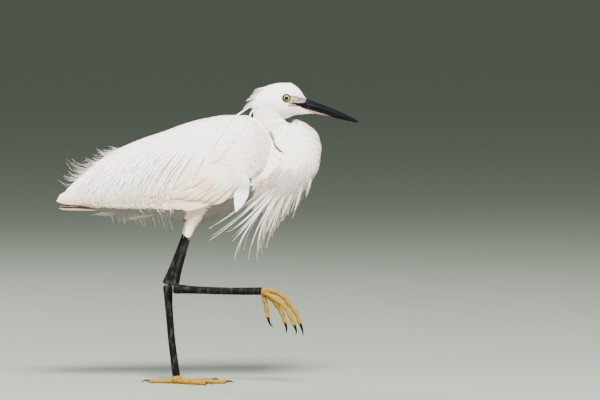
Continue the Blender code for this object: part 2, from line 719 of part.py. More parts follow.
def thumb_feather(side):
    """The broad feather that hangs loose from the wrist, in front of the wing."""
    stations = []
    for s, wide in ((0.0, 0.35), (0.25, 0.75), (0.5, 1.0), (0.72, 0.95), (0.9, 0.62), (1.0, 0.25)):
        x, z = 0.0905 - 0.0132 * s, 0.2730 - 0.0500 * s
        centre, _ = on_side(x, max(z, 0.2420), side, -0.0010 + 0.0032 * min(1, s * 2.2))
        centre = Vector((x, centre.y + side * (-0.0035) * max(0, s - 0.6), z))
        stations.append((centre, Vector((0.1, side, -0.1)).normalized(), 0.0105 * wide, 0.0))
    return vane("thumb", stations, VANE_THICKNESS)


PLUME_LOW = curve([(-0.15, 0.2500), (-0.088, 0.2460), (-0.05, 0.2350), (0.006, 0.2235), (0.04, 0.2300)])


def drooping_plume(side, share, row):
    """One long back plume: it leaves the mantle, falls back over the wing and turns down to its tip."""
    root_x = 0.052 - 0.150 * share + row * 0.012
    root_z = MANTLE_EDGE(root_x) + 0.008 + 0.011 * row
    reach = (0.047 - 0.020 * share) * random.uniform(0.85, 1.1)
    low_end = PLUME_LOW(root_x - reach) + random.uniform(-0.002, 0.009) + 0.009 * row
    start, end = Vector((root_x, root_z)), Vector((root_x - reach * (0.82 + 0.16 * share), low_end))
    bend = Vector((root_x - reach, root_z + (low_end - root_z) * 0.40))
    stations = []
    for s, wide in ((0.0, 1.0), (0.22, 1.0), (0.45, 0.9), (0.70, 0.65), (1.0, 0.20)):
        place = start * (1 - s) ** 2 + bend * 2 * s * (1 - s) + end * s**2
        lift = -0.0006 + (PLUME_LIFT + 0.0010 * row + 0.0006) * min(1.0, s * 4.5)
        centre, outward = on_side(place.x, place.y, side, lift)
        stations.append((centre, outward, 0.0042 * wide, 0.0))
    return vane("plume", stations, PLUME_THICKNESS)


def upswept_plume(side, share):
    """One back plume whose fine tip curls up clear of the rear back."""
    across = side * (0.004 + 0.010 * random.random())
    tip = Vector((-0.1000 - 0.0500 * share, across, 0.3000 - 0.0390 * share))
    tip.z += random.uniform(-0.004, 0.004)
    start_x = tip.x + 0.062 - 0.012 * share
    angle = math.radians(58 + 14 * random.random())
    turn = angle if side == LEFT else math.pi - angle
    root = body_point(start_x, turn)
    out = body_outward(root)
    bend_x = tip.x + 0.022
    bend = body_point(bend_x, turn) + body_outward(body_point(bend_x, turn)) * 0.0040
    stations = []
    for s, wide in ((0.0, 1.0), (0.35, 0.9), (0.7, 0.55), (1.0, 0.2)):
        centre = root * (1 - s) ** 2 + bend * 2 * s * (1 - s) + tip * s**2
        sunk = out * (0.0008 + 0.0012 * min(1, s * 3))
        stations.append((centre + sunk, out, 0.0038 * wide, 0.0))
    return vane("plume", stations, PLUME_THICKNESS)


def build_mantle(looks):
    """The feathers over the back as one saddle, with the long plumes that fall from its rear."""
    mantle = above_wing("mantle", GAP)
    shaped(mantle, "INTERSECT", body_solid("form", MANTLE_RISE))
    shaped(mantle, "DIFFERENCE", body_core("core", GAP), neck_loft("neck", GAP), breast_loft("breast", GAP))
    plumes = []
    for side in (RIGHT, LEFT):
        plumes += [drooping_plume(side, (k + 0.5) / 10, 0) for k in range(10)]
        plumes += [drooping_plume(side, (k + 0.5) / 4, 1) for k in range(4)]
        plumes += [upswept_plume(side, (k + 0.5 * (side > 0)) / 4) for k in range(4)]
    finish(fuse(mantle, plumes), looks["white"])


def build_torso(looks):
    """The trunk inside the feather cover: belly, flanks and rump."""
    torso = body_core("torso")
    shaped(torso, "DIFFERENCE", neck_loft("neck", GAP))
    finish(torso, looks["white"])


def build_breast(looks):
    """The folded front of the neck and the breast, with its long hanging plumes."""
    breast = breast_loft("breast")
    shaped(
        breast, "DIFFERENCE", neck_loft("neck", GAP), body_core("core", GAP),
        wing_base("right", RIGHT, GAP), wing_base("left", LEFT, GAP),
    )
    plumes = []
    for side in (RIGHT, LEFT):
        plumes += [breast_plume(side, (k + 0.5) / 10, 0) for k in range(10)]
        plumes += [breast_plume(side, (k + 0.5) / 5, 1) for k in range(5)]
    finish(fuse(breast, plumes), looks["white"])


# Side view of the breast plumes' tips, from the foremost plume at 0 to the one nearest the wing at 1.
PLUME_TIP_X = curve([
    (0, 0.158), (0.15, 0.146), (0.3, 0.130), (0.45, 0.1164), (0.6, 0.1000), (0.75, 0.0780), (0.9, 0.0520),
    (1, 0.0420),
])
PLUME_TIP_Z = curve([
    (0, 0.228), (0.15, 0.212), (0.3, 0.199), (0.45, 0.176), (0.6, 0.159), (0.75, 0.162), (0.9, 0.184),
    (1, 0.200),
])
LONG_PLUME = ((0.0, 0.8), (0.25, 1.0), (0.5, 0.8), (0.75, 0.5), (1.0, 0.16))
SHORT_PLUME = ((0.0, 0.8), (0.33, 1.0), (0.68, 0.65), (1.0, 0.16))


def breast_plume(side, share, row):
    """One breast plume: straight out of the lower breast, down and back, its tip bending down."""
    angle = side * math.radians(4 + 112 * share)
    height = 0.2585 - 0.010 * share + 0.010 * row
    root = breast_point(height, angle, -0.0020)
    shorten = 0.74 if row else 1.0
    spread = side * (0.004 + 0.030 * math.sin(math.radians(112 * share))) * (1.0 if row == 0 else 1.15)
    tip = Vector((PLUME_TIP_X(share), spread, PLUME_TIP_Z(share) + random.uniform(-0.004, 0.004)))
    tip = root.lerp(tip, shorten * random.uniform(0.93, 1.03))
    out = Vector((math.cos(angle) * 0.8, math.sin(angle), -0.25)).normalized()
    control = root.lerp(tip, 0.55) + Vector((-0.004, side * 0.003, 0.010)) + out * (0.003 + 0.0035 * row)
    stations = []
    for s, wide in SHORT_PLUME if row else LONG_PLUME:
        centre = root * (1 - s) ** 2 + control * 2 * s * (1 - s) + tip * s**2
        stations.append((centre, out, 0.0050 * wide, 0.0))
    return vane("plume", stations, PLUME_THICKNESS)


def build_tail(looks):
    """Twelve tail feathers in a narrow fan under the wing tips, on a short root, with the coverts below."""
    root_x, tip_x = RUMP_END + 0.004, -0.1515
    tail = limb("tail", [
        (RUMP_END + 0.012, 0, 0.2212, 0.0030, 0.0110), (RUMP_END - 0.002, 0, 0.2205, 0.0028, 0.0120),
        (RUMP_END - 0.016, 0, 0.2206, 0.0016, 0.0110),
    ], sides=8)
    shaped(tail, "DIFFERENCE", body_core("core", GAP))
    vanes = []
    for k in range(12):
        across = (k - 5.5) / 5.5
        stations = []
        for s, wide in ((0.0, 0.35), (0.7, 1.0), (1.0, 0.5)):
            x = root_x - 0.010 + (tip_x + 0.0055 * abs(across) - root_x + 0.010) * s
            y = across * (0.0095 + 0.0080 * s)
            place = Vector((x, y, 0.2206 + 0.0012 * s))
            stations.append((place, Vector((0, 0, 1)), 0.0056 * wide, math.copysign(0.42, across)))
        vanes.append(vane("tail_feather", stations, PLUME_THICKNESS))
    for k in range(5):
        y = (k - 2) * 0.0048
        root = Vector((RUMP_END - 0.004, y * 0.8, 0.2192))
        tip = Vector((-0.1290 + abs(y) * 0.6, y * 1.2, 0.2150))
        stations = []
        for s, wide in ((0, 0.6), (0.6, 1.0), (1, 0.25)):
            stations.append((root.lerp(tip, s), Vector((0.1, 0, 1)), 0.0075 * wide, 0.0))
        vanes.append(vane("covert", stations, PLUME_THICKNESS))
    finish(fuse(tail, vanes), looks["white"])


# The joints of each toe and the bend of each claw, measured from the middle of the lifted palm.
LIFTED_TOES = {
    "middle": [
        (0, 0, 0.0014), (0.0118, 0.0008, 0.0000), (0.0248, 0.0012, -0.0072), (0.0293, 0.0014, -0.0137),
        (0.0392, 0.0014, -0.0261), (0.0455, 0.0012, -0.0405),
    ],
    "outer": [
        (0.0005, -0.002, -0.001), (0.0143, -0.0085, -0.0091), (0.0262, -0.0125, -0.0190),
        (0.0330, -0.0145, -0.0301), (0.0382, -0.0150, -0.0415),
    ],
    "inner": [
        (0.0005, 0.002, -0.001), (0.0085, 0.0080, -0.0090), (0.0156, 0.0125, -0.0177),
        (0.0222, 0.0150, -0.0288), (0.0265, 0.0155, -0.0410),
    ],
    "hind": [
        (-0.0012, 0.001, -0.002), (0.0008, 0.0020, -0.0120), (0.0028, 0.0030, -0.0225),
        (0.0044, 0.0035, -0.0325),
    ],
}
LIFTED_CLAWS = {
    "middle": ((0.0466, 0.0012, -0.0440), (0.0488, 0.0012, -0.0500), (0.0498, 0.0012, -0.0570)),
    "outer": ((0.0396, -0.0150, -0.0450), (0.0408, -0.0152, -0.0490), (0.0402, -0.0152, -0.0545)),
    "inner": ((0.0276, 0.0155, -0.0445), (0.0284, 0.0155, -0.0490), (0.0276, 0.0155, -0.0545)),
    "hind": ((0.0050, 0.0036, -0.0360), (0.0072, 0.0036, -0.0415), (0.0122, 0.0036, -0.0462)),
}
# Length of each toe on the floor, and the way it points in degrees from straight ahead.
STANDING_TOES = {"middle": (0.062, -4), "outer": (0.053, 33), "inner": (0.047, -38), "hind": (0.035, 168)}


def toe_loft(name, path, grow=0.0):
    return limb(name, digit_stations(path, TOE_RADIUS), sides=6, steps=1, grow=grow)


def build_lifted_foot(looks):
    """The right foot, hanging loosely from the level shank."""
    foot = ball("foot_right", LIFTED_PALM, Vector((0.0066, 0.0060, 0.0062)), 1)
    paths = {name: [LIFTED_PALM + Vector(p) for p in path] for name, path in LIFTED_TOES.items()}
    fuse(foot, [toe_loft(name, path) for name, path in paths.items()])
    finish(shaped(foot, "DIFFERENCE", shank_loft("shank", RIGHT, GAP)), looks["foot"])
    for name, points in LIFTED_CLAWS.items():
        horn = claw(f"claw_right_{name}", *(LIFTED_PALM + Vector(p) for p in points), CLAW_RADIUS)
        finish(shaped(horn, "DIFFERENCE", toe_loft("toe", paths[name], GAP)), looks["claw"])


def standing_toe_path(length, heading):
    """A toe along the floor from under the palm, its underside just below the floor for the flats."""
    along = Vector((math.cos(math.radians(heading)), math.sin(math.radians(heading)), 0))
    path = []
    for s in (0.0, 0.30, 0.58, 0.82, 1.0):
        path.append(along * length * s + Vector((0, 0, TOE_RADIUS * (1.0 - 0.18 * s) - 0.0002)))
    return path, along


def build_standing_foot(looks):
    """The left foot, spread flat: every toe and the palm rest on one level."""
    foot = ball("foot_left", Vector((0, 0, 0.0052)), Vector((0.0070, 0.0066, 0.0066)), 1)
    fuse(foot, [toe_loft(name, standing_toe_path(*toe)[0]) for name, toe in STANDING_TOES.items()])
    floor = slab("floor", [(-0.2, -0.05), (0.2, -0.05), (0.2, 0), (-0.2, 0)], -0.2, 0.2)
    shaped(foot, "DIFFERENCE", floor, shank_loft("shank", LEFT, GAP))
    finish(foot, looks["foot"])
    for name, (length, heading) in STANDING_TOES.items():
        path, along = standing_toe_path(length, heading)
        bend = ((0.0018, 0.0030), (0.0068, 0.0034), (0.0123, 0.0012))
        places = [along * (length + reach) + Vector((0, 0, z)) for reach, z in bend]
        horn = claw(f"claw_left_{name}", *places, CLAW_RADIUS)
        finish(shaped(horn, "DIFFERENCE", toe_loft("toe", path, GAP)), looks["claw"])


def build_legs(looks):
    for side, word in ((RIGHT, "right"), (LEFT, "left")):
        thigh = thigh_loft(f"thigh_{word}", side)
        cutters = [body_core("core", GAP), slab("wing", wing_outline(0.0015), -0.08, 0.08)]
        finish(shaped(thigh, "DIFFERENCE", *cutters), looks["white"])
        shin = shin_loft(f"shin_{word}", side)
        finish(shaped(shin, "DIFFERENCE", thigh_loft("thigh", side, GAP)), looks["leg"])
        shank = shank_loft(f"shank_{word}", side)
        finish(shaped(shank, "DIFFERENCE", shin_loft("shin", side, GAP)), looks["leg"])
    build_lifted_foot(looks)
    build_standing_foot(looks)


def main():
    for old in list(bpy.data.objects):
        bpy.data.objects.remove(old)
    looks = {
        "white": material("white_feather", (0.88, 0.87, 0.85), 0.75),
        "bill": material("black_horn", (0.035, 0.037, 0.045), 0.35),
        "eye": material("yellow_eye", (0.72, 0.62, 0.20), 0.12),
        "leg": material("black_leg", (0.045, 0.040, 0.038), 0.5),
        "foot": material("yellow_foot", (0.66, 0.47, 0.10), 0.5),
        "claw": material("dark_claw", (0.06, 0.05, 0.05), 0.35),
    }
    build_head(looks)
    finish(shaped(neck_loft("neck"), "DIFFERENCE", head_loft("head", GAP)), looks["white"])
    build_torso(looks)
    build_mantle(looks)
    for side, word in ((RIGHT, "right"), (LEFT, "left")):
        build_wing(f"wing_{word}", side, looks)
    build_breast(looks)
    build_tail(looks)
    build_legs(looks)


main()
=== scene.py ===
"""The looks of a little egret in breeding plumage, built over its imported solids.

It wades on its left leg with the right foot lifted, neck drawn in. All sizes are metres.
"""

import json
import math

import bmesh
import bpy
import numpy as np
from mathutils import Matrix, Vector
from mathutils.bvhtree import BVHTree

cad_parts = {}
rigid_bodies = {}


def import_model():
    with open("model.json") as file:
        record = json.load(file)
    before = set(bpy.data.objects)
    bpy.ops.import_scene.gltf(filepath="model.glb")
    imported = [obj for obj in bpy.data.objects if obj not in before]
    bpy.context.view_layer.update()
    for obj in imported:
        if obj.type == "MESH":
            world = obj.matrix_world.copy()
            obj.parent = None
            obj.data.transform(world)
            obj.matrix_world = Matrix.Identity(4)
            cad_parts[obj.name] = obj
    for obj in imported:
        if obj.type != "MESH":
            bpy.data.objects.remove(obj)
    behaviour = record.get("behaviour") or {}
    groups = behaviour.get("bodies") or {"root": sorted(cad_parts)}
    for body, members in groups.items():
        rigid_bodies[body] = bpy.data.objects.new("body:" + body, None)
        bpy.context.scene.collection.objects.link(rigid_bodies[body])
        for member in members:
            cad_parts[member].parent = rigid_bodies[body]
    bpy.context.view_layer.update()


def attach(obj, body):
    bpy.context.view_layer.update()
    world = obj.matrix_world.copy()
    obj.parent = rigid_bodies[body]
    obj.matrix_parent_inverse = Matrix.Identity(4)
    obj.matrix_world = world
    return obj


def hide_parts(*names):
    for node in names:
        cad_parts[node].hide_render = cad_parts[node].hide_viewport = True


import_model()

# The studio: a camera on the bird's right, a little above it and a long way off, a wide pale floor that
# runs past the picture's edges, and soft light from above and in front, with a faint greenish sky light all
# round.
def new_material(name):
    made = bpy.data.materials.new(name)
    made.use_nodes = True
    nodes, links = made.node_tree.nodes, made.node_tree.links
    return made, nodes, links, nodes["Principled BSDF"]


collection = bpy.context.scene.collection
view_centre = Vector((0.1581, 0.0, 0.2355))
view_tilt = math.radians(2.42)
view_distance = 6.4
camera_data = bpy.data.cameras.new("camera")
camera_data.lens = 300
camera_data.sensor_width = 36
camera_data.clip_end = 900
camera = bpy.data.objects.new("camera", camera_data)
camera.location = view_centre + Vector((0, -math.cos(view_tilt), math.sin(view_tilt))) * view_distance
camera.rotation_euler = (view_centre - camera.location).to_track_quat("-Z", "Y").to_euler()
collection.objects.link(camera)
bpy.context.scene.camera = camera

floor_half = 400
floor_paint, _, _, floor_shader = new_material("studio_floor")
floor_shader.inputs["Base Color"].default_value = (0.24, 0.27, 0.22, 1)
floor_shader.inputs["Roughness"].default_value = 0.9
floor_mesh = bpy.data.meshes.new("floor")
floor_corners = [(x * floor_half, y * floor_half, 0) for x, y in ((-1, -1), (1, -1), (1, 1), (-1, 1))]
floor_mesh.from_pydata(floor_corners, [], [(0, 1, 2, 3)])
floor_mesh.materials.append(floor_paint)
floor = bpy.data.objects.new("floor", floor_mesh)
collection.objects.link(floor)

world = bpy.data.worlds.new("sky")
world.use_nodes = True
world.node_tree.nodes["Background"].inputs["Color"].default_value = (0.30, 0.335, 0.30, 1)
world.node_tree.nodes["Background"].inputs["Strength"].default_value = 0.85
bpy.context.scene.world = world
for name, place, size, power, colour in (
    ("key_light", (0.35, -2.5, 2.9), 1.1, 560, (1.0, 0.985, 0.965)),
    ("back_light", (-1.4, 1.8, 2.2), 1.4, 90, (0.93, 0.96, 1.0)),
    ("fill_light", (-1.6, -2.8, 0.9), 2.4, 60, (1.0, 0.955, 0.91)),
):
    lamp_data = bpy.data.lights.new(name, "AREA")
    lamp_data.shape = "DISK"
    lamp_data.size = size
    lamp_data.energy = power
    lamp_data.color = colour
    lamp = bpy.data.objects.new(name, lamp_data)
    lamp.location = place
    lamp.rotation_euler = (Vector((0.02, 0, 0.24)) - Vector(place)).to_track_quat("-Z", "Y").to_euler()
    collection.objects.link(lamp)


# The skin: one body from bill to rump with the drawn-in neck, the fold of the front neck and both thighs,
# in the same sizes as the solids. It is one closed surface that lies under the small feathers, and the
# wings and tail lie on it.
feather_depth = 0.0014
RIGHT, LEFT = -1, 1


def smooth_curve(points):
    """A smooth function through the points that doesn't overshoot them, for single values or arrays."""
    xs, ys = np.array(points, float).T
    steps = np.diff(ys) / np.diff(xs)
    turns = steps[:-1] * steps[1:] > 0
    total = np.where(turns, steps[:-1] + steps[1:], 1.0)
    slopes = np.concatenate([steps[:1], np.where(turns, 2 * steps[:-1] * steps[1:] / total, 0.0), steps[-1:]])

    def value(x):
        x = np.clip(x, xs[0], xs[-1])
        i = np.clip(np.searchsorted(xs, x) - 1, 0, len(xs) - 2)
        width = xs[i + 1] - xs[i]
        t = (x - xs[i]) / width
        level = (2 * t**3 - 3 * t**2 + 1) * ys[i] + (3 * t**2 - 2 * t**3) * ys[i + 1]
        return level + width * ((t**3 - 2 * t**2 + t) * slopes[i] + (t**3 - t**2) * slopes[i + 1])

    return value


def through(points, steps):
    """Points along a smooth path through the given ones."""
    rows = np.array(points, float)
    rows = np.vstack([2 * rows[0] - rows[1], rows, 2 * rows[-1] - rows[-2]])
    t = (np.arange(steps) / steps)[:, None]
    path = []
    for a, b, c, d in zip(rows, rows[1:], rows[2:], rows[3:]):
        bend = (2 * a - 5 * b + 4 * c - d) * t**2 + (3 * b - a - 3 * c + d) * t**3
        path.append(0.5 * (2 * b + (c - a) * t + bend))
    return np.vstack(path + [rows[-2:-1]])


def unit(vectors):
    vectors = np.asarray(vectors, float)
    return vectors / np.maximum(np.linalg.norm(vectors, axis=-1, keepdims=True), 1e-12)


def mesh_object(name, points, faces, material=None):
    mesh = bpy.data.meshes.new(name)
    mesh.from_pydata(np.asarray(points, float).tolist(), [], faces)
    mesh.shade_smooth()
    if material:
        mesh.materials.append(material)
    made = bpy.data.objects.new(name, mesh)
    collection.objects.link(made)
    return made


def ring_faces(count, sides, first=0):
    """Faces between rings of points, with a fan at each end on the last two points."""
    faces = []
    for i in range(count - 1):
        low, high = first + i * sides, first + (i + 1) * sides
        faces += [(low + k, low + (k + 1) % sides, high + (k + 1) % sides, high + k) for k in range(sides)]
    start, end, top = first + count * sides, first + count * sides + 1, first + (count - 1) * sides
    faces += [(start, first + (k + 1) % sides, first + k) for k in range(sides)]
    faces += [(end, top + k, top + (k + 1) % sides) for k in range(sides)]
    return faces


def turned_outwards(made):
    shape = bmesh.new()
    shape.from_mesh(made.data)
    bmesh.ops.recalc_face_normals(shape, faces=shape.faces)
    shape.to_mesh(made.data)
    shape.free()
    return made


def ring_object(name, rings, start, end, material=None):
    rings = np.asarray(rings, float)
    count, sides = rings.shape[:2]
    points = np.vstack([rings.reshape(-1, 3), start, end])
    return turned_outwards(mesh_object(name, points, ring_faces(count, sides), material))


def limb_rings(stations, sides, steps, grow=0.0):
    """Rings of a tube through stations (x, y, z, depth, breadth), the depth lying in the side view."""
    rows = through(stations, steps)
    along = unit(np.gradient(rows[:, :3], axis=0))
    across = unit(np.array([0.0, 1.0, 0.0]) - along * along[:, 1:2])
    up = np.cross(along, across)
    turn = np.linspace(0, 2 * np.pi, sides, endpoint=False)
    wide = across[:, None] * np.cos(turn)[None, :, None] * (rows[:, 4] + grow)[:, None, None]
    deep = up[:, None] * np.sin(turn)[None, :, None] * (rows[:, 3] + grow)[:, None, None]
    return rows[:, None, :3] + wide + deep, rows, along


def limb(name, stations, sides, steps, grow=0.0):
    """A tube through the stations with rounded ends."""
    rings, rows, along = limb_rings(stations, sides, steps, grow)
    caps = []
    for end, way in ((0, -1), (-1, 1)):
        centre, reach = rows[end, :3], rows[end, 4] + grow
        rounds = []
        for a in (0.45, 0.9, 1.25):
            narrowed = centre + (rings[end] - centre) * math.cos(a)
            rounds.append(narrowed + way * along[end] * reach * math.sin(a))
        caps.append((rounds, centre + way * along[end] * reach))
    stack = np.concatenate([np.array(caps[0][0][::-1]), rings, np.array(caps[1][0])])
    return ring_object(name, stack, caps[0][1], caps[1][1])


back_line = smooth_curve([
    (-0.153, 0.2415), (-0.1396, 0.2512), (-0.121, 0.2675), (-0.0992, 0.286), (-0.0749, 0.3008),
    (-0.048, 0.313), (-0.013, 0.325), (0.014, 0.3346), (0.0408, 0.3412), (0.0678, 0.3446),
    (0.0947, 0.3435), (0.124, 0.340),
])
belly_line = smooth_curve([
    (-0.153, 0.2285), (-0.14, 0.2275), (-0.12, 0.2245), (-0.10, 0.2205), (-0.07, 0.2165), (-0.02, 0.2135),
    (0.011, 0.209), (0.031, 0.207), (0.053, 0.2115), (0.0736, 0.220), (0.10, 0.230), (0.124, 0.242),
])
widest_line = smooth_curve([
    (-0.153, 0.234), (-0.10, 0.2475), (-0.05, 0.262), (0.03, 0.277), (0.09, 0.288), (0.124, 0.290),
])
body_half = smooth_curve([
    (-0.153, 0.011), (-0.14, 0.0155), (-0.12, 0.022), (-0.09, 0.030), (-0.05, 0.0385), (-0.01, 0.0445),
    (0.03, 0.0485), (0.07, 0.0495), (0.10, 0.0465), (0.124, 0.042),
])


def body_rings():
    ease = np.sin(np.radians(np.linspace(8, 84, 9)))
    xs = np.concatenate([-0.136 - 0.013 * ease[::-1], np.linspace(-0.136, 0.090, 52), 0.090 + 0.034 * ease])
    nose = np.sqrt(np.clip(1 - ((xs - 0.090) / 0.034) ** 2, 0, 1))
    tail = np.sqrt(np.clip(1 - ((-0.136 - xs) / 0.013) ** 2, 0, 1))
    round_off = np.where(xs > 0.090, nose, np.where(xs < -0.136, tail, 1.0))
    turn = np.linspace(0, 2 * np.pi, 56, endpoint=False)
    rise = np.sign(np.sin(turn)) * np.abs(np.sin(turn)) ** (2 / 2.2)
    wide = np.sign(np.cos(turn)) * np.abs(np.cos(turn)) ** (2 / 2.2)
    middle = widest_line(xs)
    up = (back_line(xs) - middle - feather_depth) * round_off
    down = (middle - belly_line(xs) - feather_depth) * round_off
    half = (body_half(xs) - feather_depth) * round_off
    rings = np.zeros((len(xs), len(turn), 3))
    rings[..., 0] = xs[:, None]
    rings[..., 1] = half[:, None] * wide
    rings[..., 2] = middle[:, None] + np.where(rise > 0, up[:, None] * rise, down[:, None] * rise)
    return rings, (-0.1490, 0, 0.2345), (0.1238, 0, 0.290)


crown_line = smooth_curve([
    (0.0965, 0.358), (0.099, 0.3645), (0.1056, 0.3738), (0.1189, 0.3831), (0.135, 0.3858), (0.1458, 0.3856),
    (0.1567, 0.379), (0.1633, 0.3695), (0.167, 0.3650), (0.173, 0.3565),
])
throat_line = smooth_curve([
    (0.0965, 0.352), (0.105, 0.345), (0.12, 0.3405), (0.139, 0.3395), (0.15, 0.343), (0.162, 0.3462),
    (0.173, 0.3480),
])
head_half = smooth_curve([
    (0.0965, 0.005), (0.10, 0.0105), (0.11, 0.0150), (0.12, 0.0170), (0.135, 0.0172), (0.1408, 0.0162),
    (0.15, 0.0130), (0.157, 0.0105), (0.162, 0.0084), (0.167, 0.0066), (0.173, 0.0042),
])


def head_rings(inset):
    xs = np.concatenate([[0.0965, 0.098, 0.100], np.linspace(0.103, 0.172, 34)])
    middle = throat_line(xs) + 0.46 * (crown_line(xs) - throat_line(xs))
    turn = np.linspace(0, 2 * np.pi, 44, endpoint=False)
    up, down = crown_line(xs) - middle - inset, middle - throat_line(xs) - inset
    rings = np.zeros((len(xs), len(turn), 3))
    rings[..., 0] = xs[:, None]
    rings[..., 1] = (head_half(xs) - inset * 0.6)[:, None] * np.cos(turn)
    rise = np.sin(turn)
    rings[..., 2] = middle[:, None] + np.where(rise > 0, up[:, None] * rise, down[:, None] * rise)
    return rings, (0.0955, 0, 0.3552), (0.1745, 0, 0.3525)


breast_front = smooth_curve([
    (0.222, 0.122), (0.232, 0.140), (0.243, 0.1585), (0.2534, 0.1692), (0.2675, 0.1785), (0.28, 0.1836),
    (0.302, 0.1858), (0.3183, 0.1816), (0.3264, 0.1756), (0.3323, 0.1676), (0.336, 0.1618), (0.3385, 0.1570),
])
breast_rear = smooth_curve([
    (0.222, 0.106), (0.243, 0.095), (0.27, 0.098), (0.30, 0.108), (0.318, 0.124), (0.327, 0.1350),
    (0.3325, 0.1465), (0.3355, 0.1515), (0.3385, 0.1540),
])
breast_half = smooth_curve([
    (0.222, 0.010), (0.232, 0.024), (0.245, 0.033), (0.265, 0.036), (0.285, 0.033), (0.305, 0.0275),
    (0.32, 0.0225), (0.332, 0.0155), (0.339, 0.007),
])


def breast_point(height, angle, lift):
    """The front neck's surface at a height, the angle measured from dead ahead towards the left."""
    middle = (breast_front(height) + breast_rear(height)) / 2
    depth = (breast_front(height) - breast_rear(height)) / 2 + lift
    half = breast_half(height) + lift
    return np.stack([middle + depth * np.cos(angle), half * np.sin(angle), height + 0 * angle], axis=-1)


flesh = []
flesh.append(ring_object("body", *body_rings()))
flesh.append(ring_object("head_form", *head_rings(0.0009)))
heights = np.concatenate([[0.2222, 0.2235], np.linspace(0.226, 0.333, 40), [0.3352, 0.3366]])
around = np.linspace(0, 2 * np.pi, 44, endpoint=False)
breast_rings = [breast_point(height, around, -feather_depth) for height in heights]
flesh.append(ring_object("front_neck", breast_rings, (0.117, 0, 0.2218), (0.1555, 0, 0.3371)))
flesh.append(limb("neck_form", [
    (0.1165, 0, 0.3520, 0.0195, 0.0160), (0.1190, 0, 0.3430, 0.0192, 0.0160),
    (0.1255, 0, 0.3315, 0.0160, 0.0152), (0.1345, 0, 0.3150, 0.0150, 0.0150),
    (0.1420, 0, 0.3000, 0.0130, 0.0140), (0.1480, 0, 0.2900, 0.0090, 0.0100),
], 32, 8, -0.0010))
thigh_stations = {
    RIGHT: [(0.034, -0.019, 0.240, 0.0170, 0.0150), (0.0262, -0.0183, 0.2210, 0.0124, 0.0126),
            (0.0192, -0.0172, 0.2050, 0.0080, 0.0078), (0.0152, -0.0168, 0.1930, 0.0058, 0.0056)],
    LEFT: [(0.030, 0.019, 0.240, 0.0170, 0.0150), (0.0225, 0.0178, 0.2210, 0.0124, 0.0126),
           (0.0160, 0.0162, 0.2050, 0.0080, 0.0078), (0.0125, 0.0155, 0.1930, 0.0058, 0.0056)],
}
for side in (RIGHT, LEFT):
    flesh.append(limb("thigh", thigh_stations[side], 24, 8, -0.0010))
flesh.append(limb("chin", [
    (0.152, 0, 0.3493, 0.0046, 0.0072), (0.162, 0, 0.3484, 0.0030, 0.0052),
    (0.170, 0, 0.3480, 0.0019, 0.0036), (0.176, 0, 0.3474, 0.0011, 0.0022),
], 20, 6))
flesh.append(limb("notch", [
    (0.134, 0, 0.3290, 0.0090, 0.0110), (0.141, 0, 0.3262, 0.0084, 0.0105),
    (0.148, 0, 0.3264, 0.0074, 0.0100), (0.154, 0, 0.3280, 0.0070, 0.0090),
], 24, 6))

joined = bmesh.new()
for piece in flesh:
    joined.from_mesh(piece.data)
skin = mesh_object("skin", [], [])
joined.to_mesh(skin.data)
joined.free()
for piece in flesh:
    bpy.data.objects.remove(piece)


def applied(made):
    """Turns the object's modifiers into its mesh."""
    graph = bpy.context.evaluated_depsgraph_get()
    mesh = bpy.data.meshes.new_from_object(made.evaluated_get(graph))
    made.modifiers.clear()
    made.data = mesh


def relaxed(made, rounds):
    """Evens out a surface, together with any modifier that it already has."""
    relax = made.modifiers.new("relax", "SMOOTH")
    relax.factor = 0.5
    relax.iterations = rounds
    applied(made)


remesh = skin.modifiers.new("one_surface", "REMESH")
remesh.mode = "VOXEL"
remesh.voxel_size = 0.0012
relaxed(skin, 8)


def arrays(made):
    """Points and normals of an object's mesh."""
    count = len(made.data.vertices)
    points, normals = np.zeros(count * 3), np.zeros(count * 3)
    made.data.vertices.foreach_get("co", points)
    made.data.vertices.foreach_get("normal", normals)
    return points.reshape(-1, 3), normals.reshape(-1, 3)


def near_path(points, path):
    """Distance from each point to the nearest of a path's points, in side view."""
    line = through(path, 8)
    gaps = points[:, None, [0, 2]] - line[None]
    return np.sqrt((gaps**2).sum(axis=2)).min(axis=1)


# The skin's creases: the neck folds against the shoulder in a narrow slit, the scapulars end in a soft
# groove over the wing, the shoulder's front stands clear of the breast, and the throat folds under the
# cheek. The eyes sit in shallow sockets.
slit_path = [
    (0.1194, 0.3242), (0.1224, 0.3183), (0.1250, 0.3109), (0.1275, 0.3058), (0.1308, 0.3013),
    (0.1345, 0.2981), (0.1382, 0.2964),
]
groove_path = [(0.0830, 0.3160), (0.0790, 0.3095), (0.0715, 0.3010), (0.0620, 0.2900), (0.0480, 0.2800)]
shoulder_path = [
    (0.1240, 0.3090), (0.1235, 0.2990), (0.1195, 0.2865), (0.1110, 0.2735), (0.1010, 0.2640),
    (0.0930, 0.2530),
]
throat_path = [(0.1243, 0.3401), (0.1310, 0.3403), (0.1375, 0.3410)]
eye_x, eye_z = 0.1408, 0.3662
points, normals = arrays(skin)
side_facing = np.clip((np.abs(normals[:, 1]) - 0.1) / 0.3, 0, 1)
push = np.zeros(len(points))
for route, depth, breadth in (
    (slit_path, 0.0012, 0.0016), (groove_path, 0.0017, 0.0026), (shoulder_path, 0.0022, 0.0030),
    (throat_path, 0.0013, 0.0013),
):
    push += depth * np.exp(-(near_path(points, route) / breadth) ** 2)
from_eye = np.hypot(points[:, 0] - eye_x, points[:, 2] - eye_z)
push += 0.0026 * np.exp(-(from_eye / 0.0039) ** 4)
points -= normals * (side_facing * push)[:, None]
skin.data.vertices.foreach_set("co", points.ravel())
skin.data.update()
relaxed(skin, 3)
skin.data.shade_smooth()
surface = BVHTree.FromObject(skin, bpy.context.evaluated_depsgraph_get())


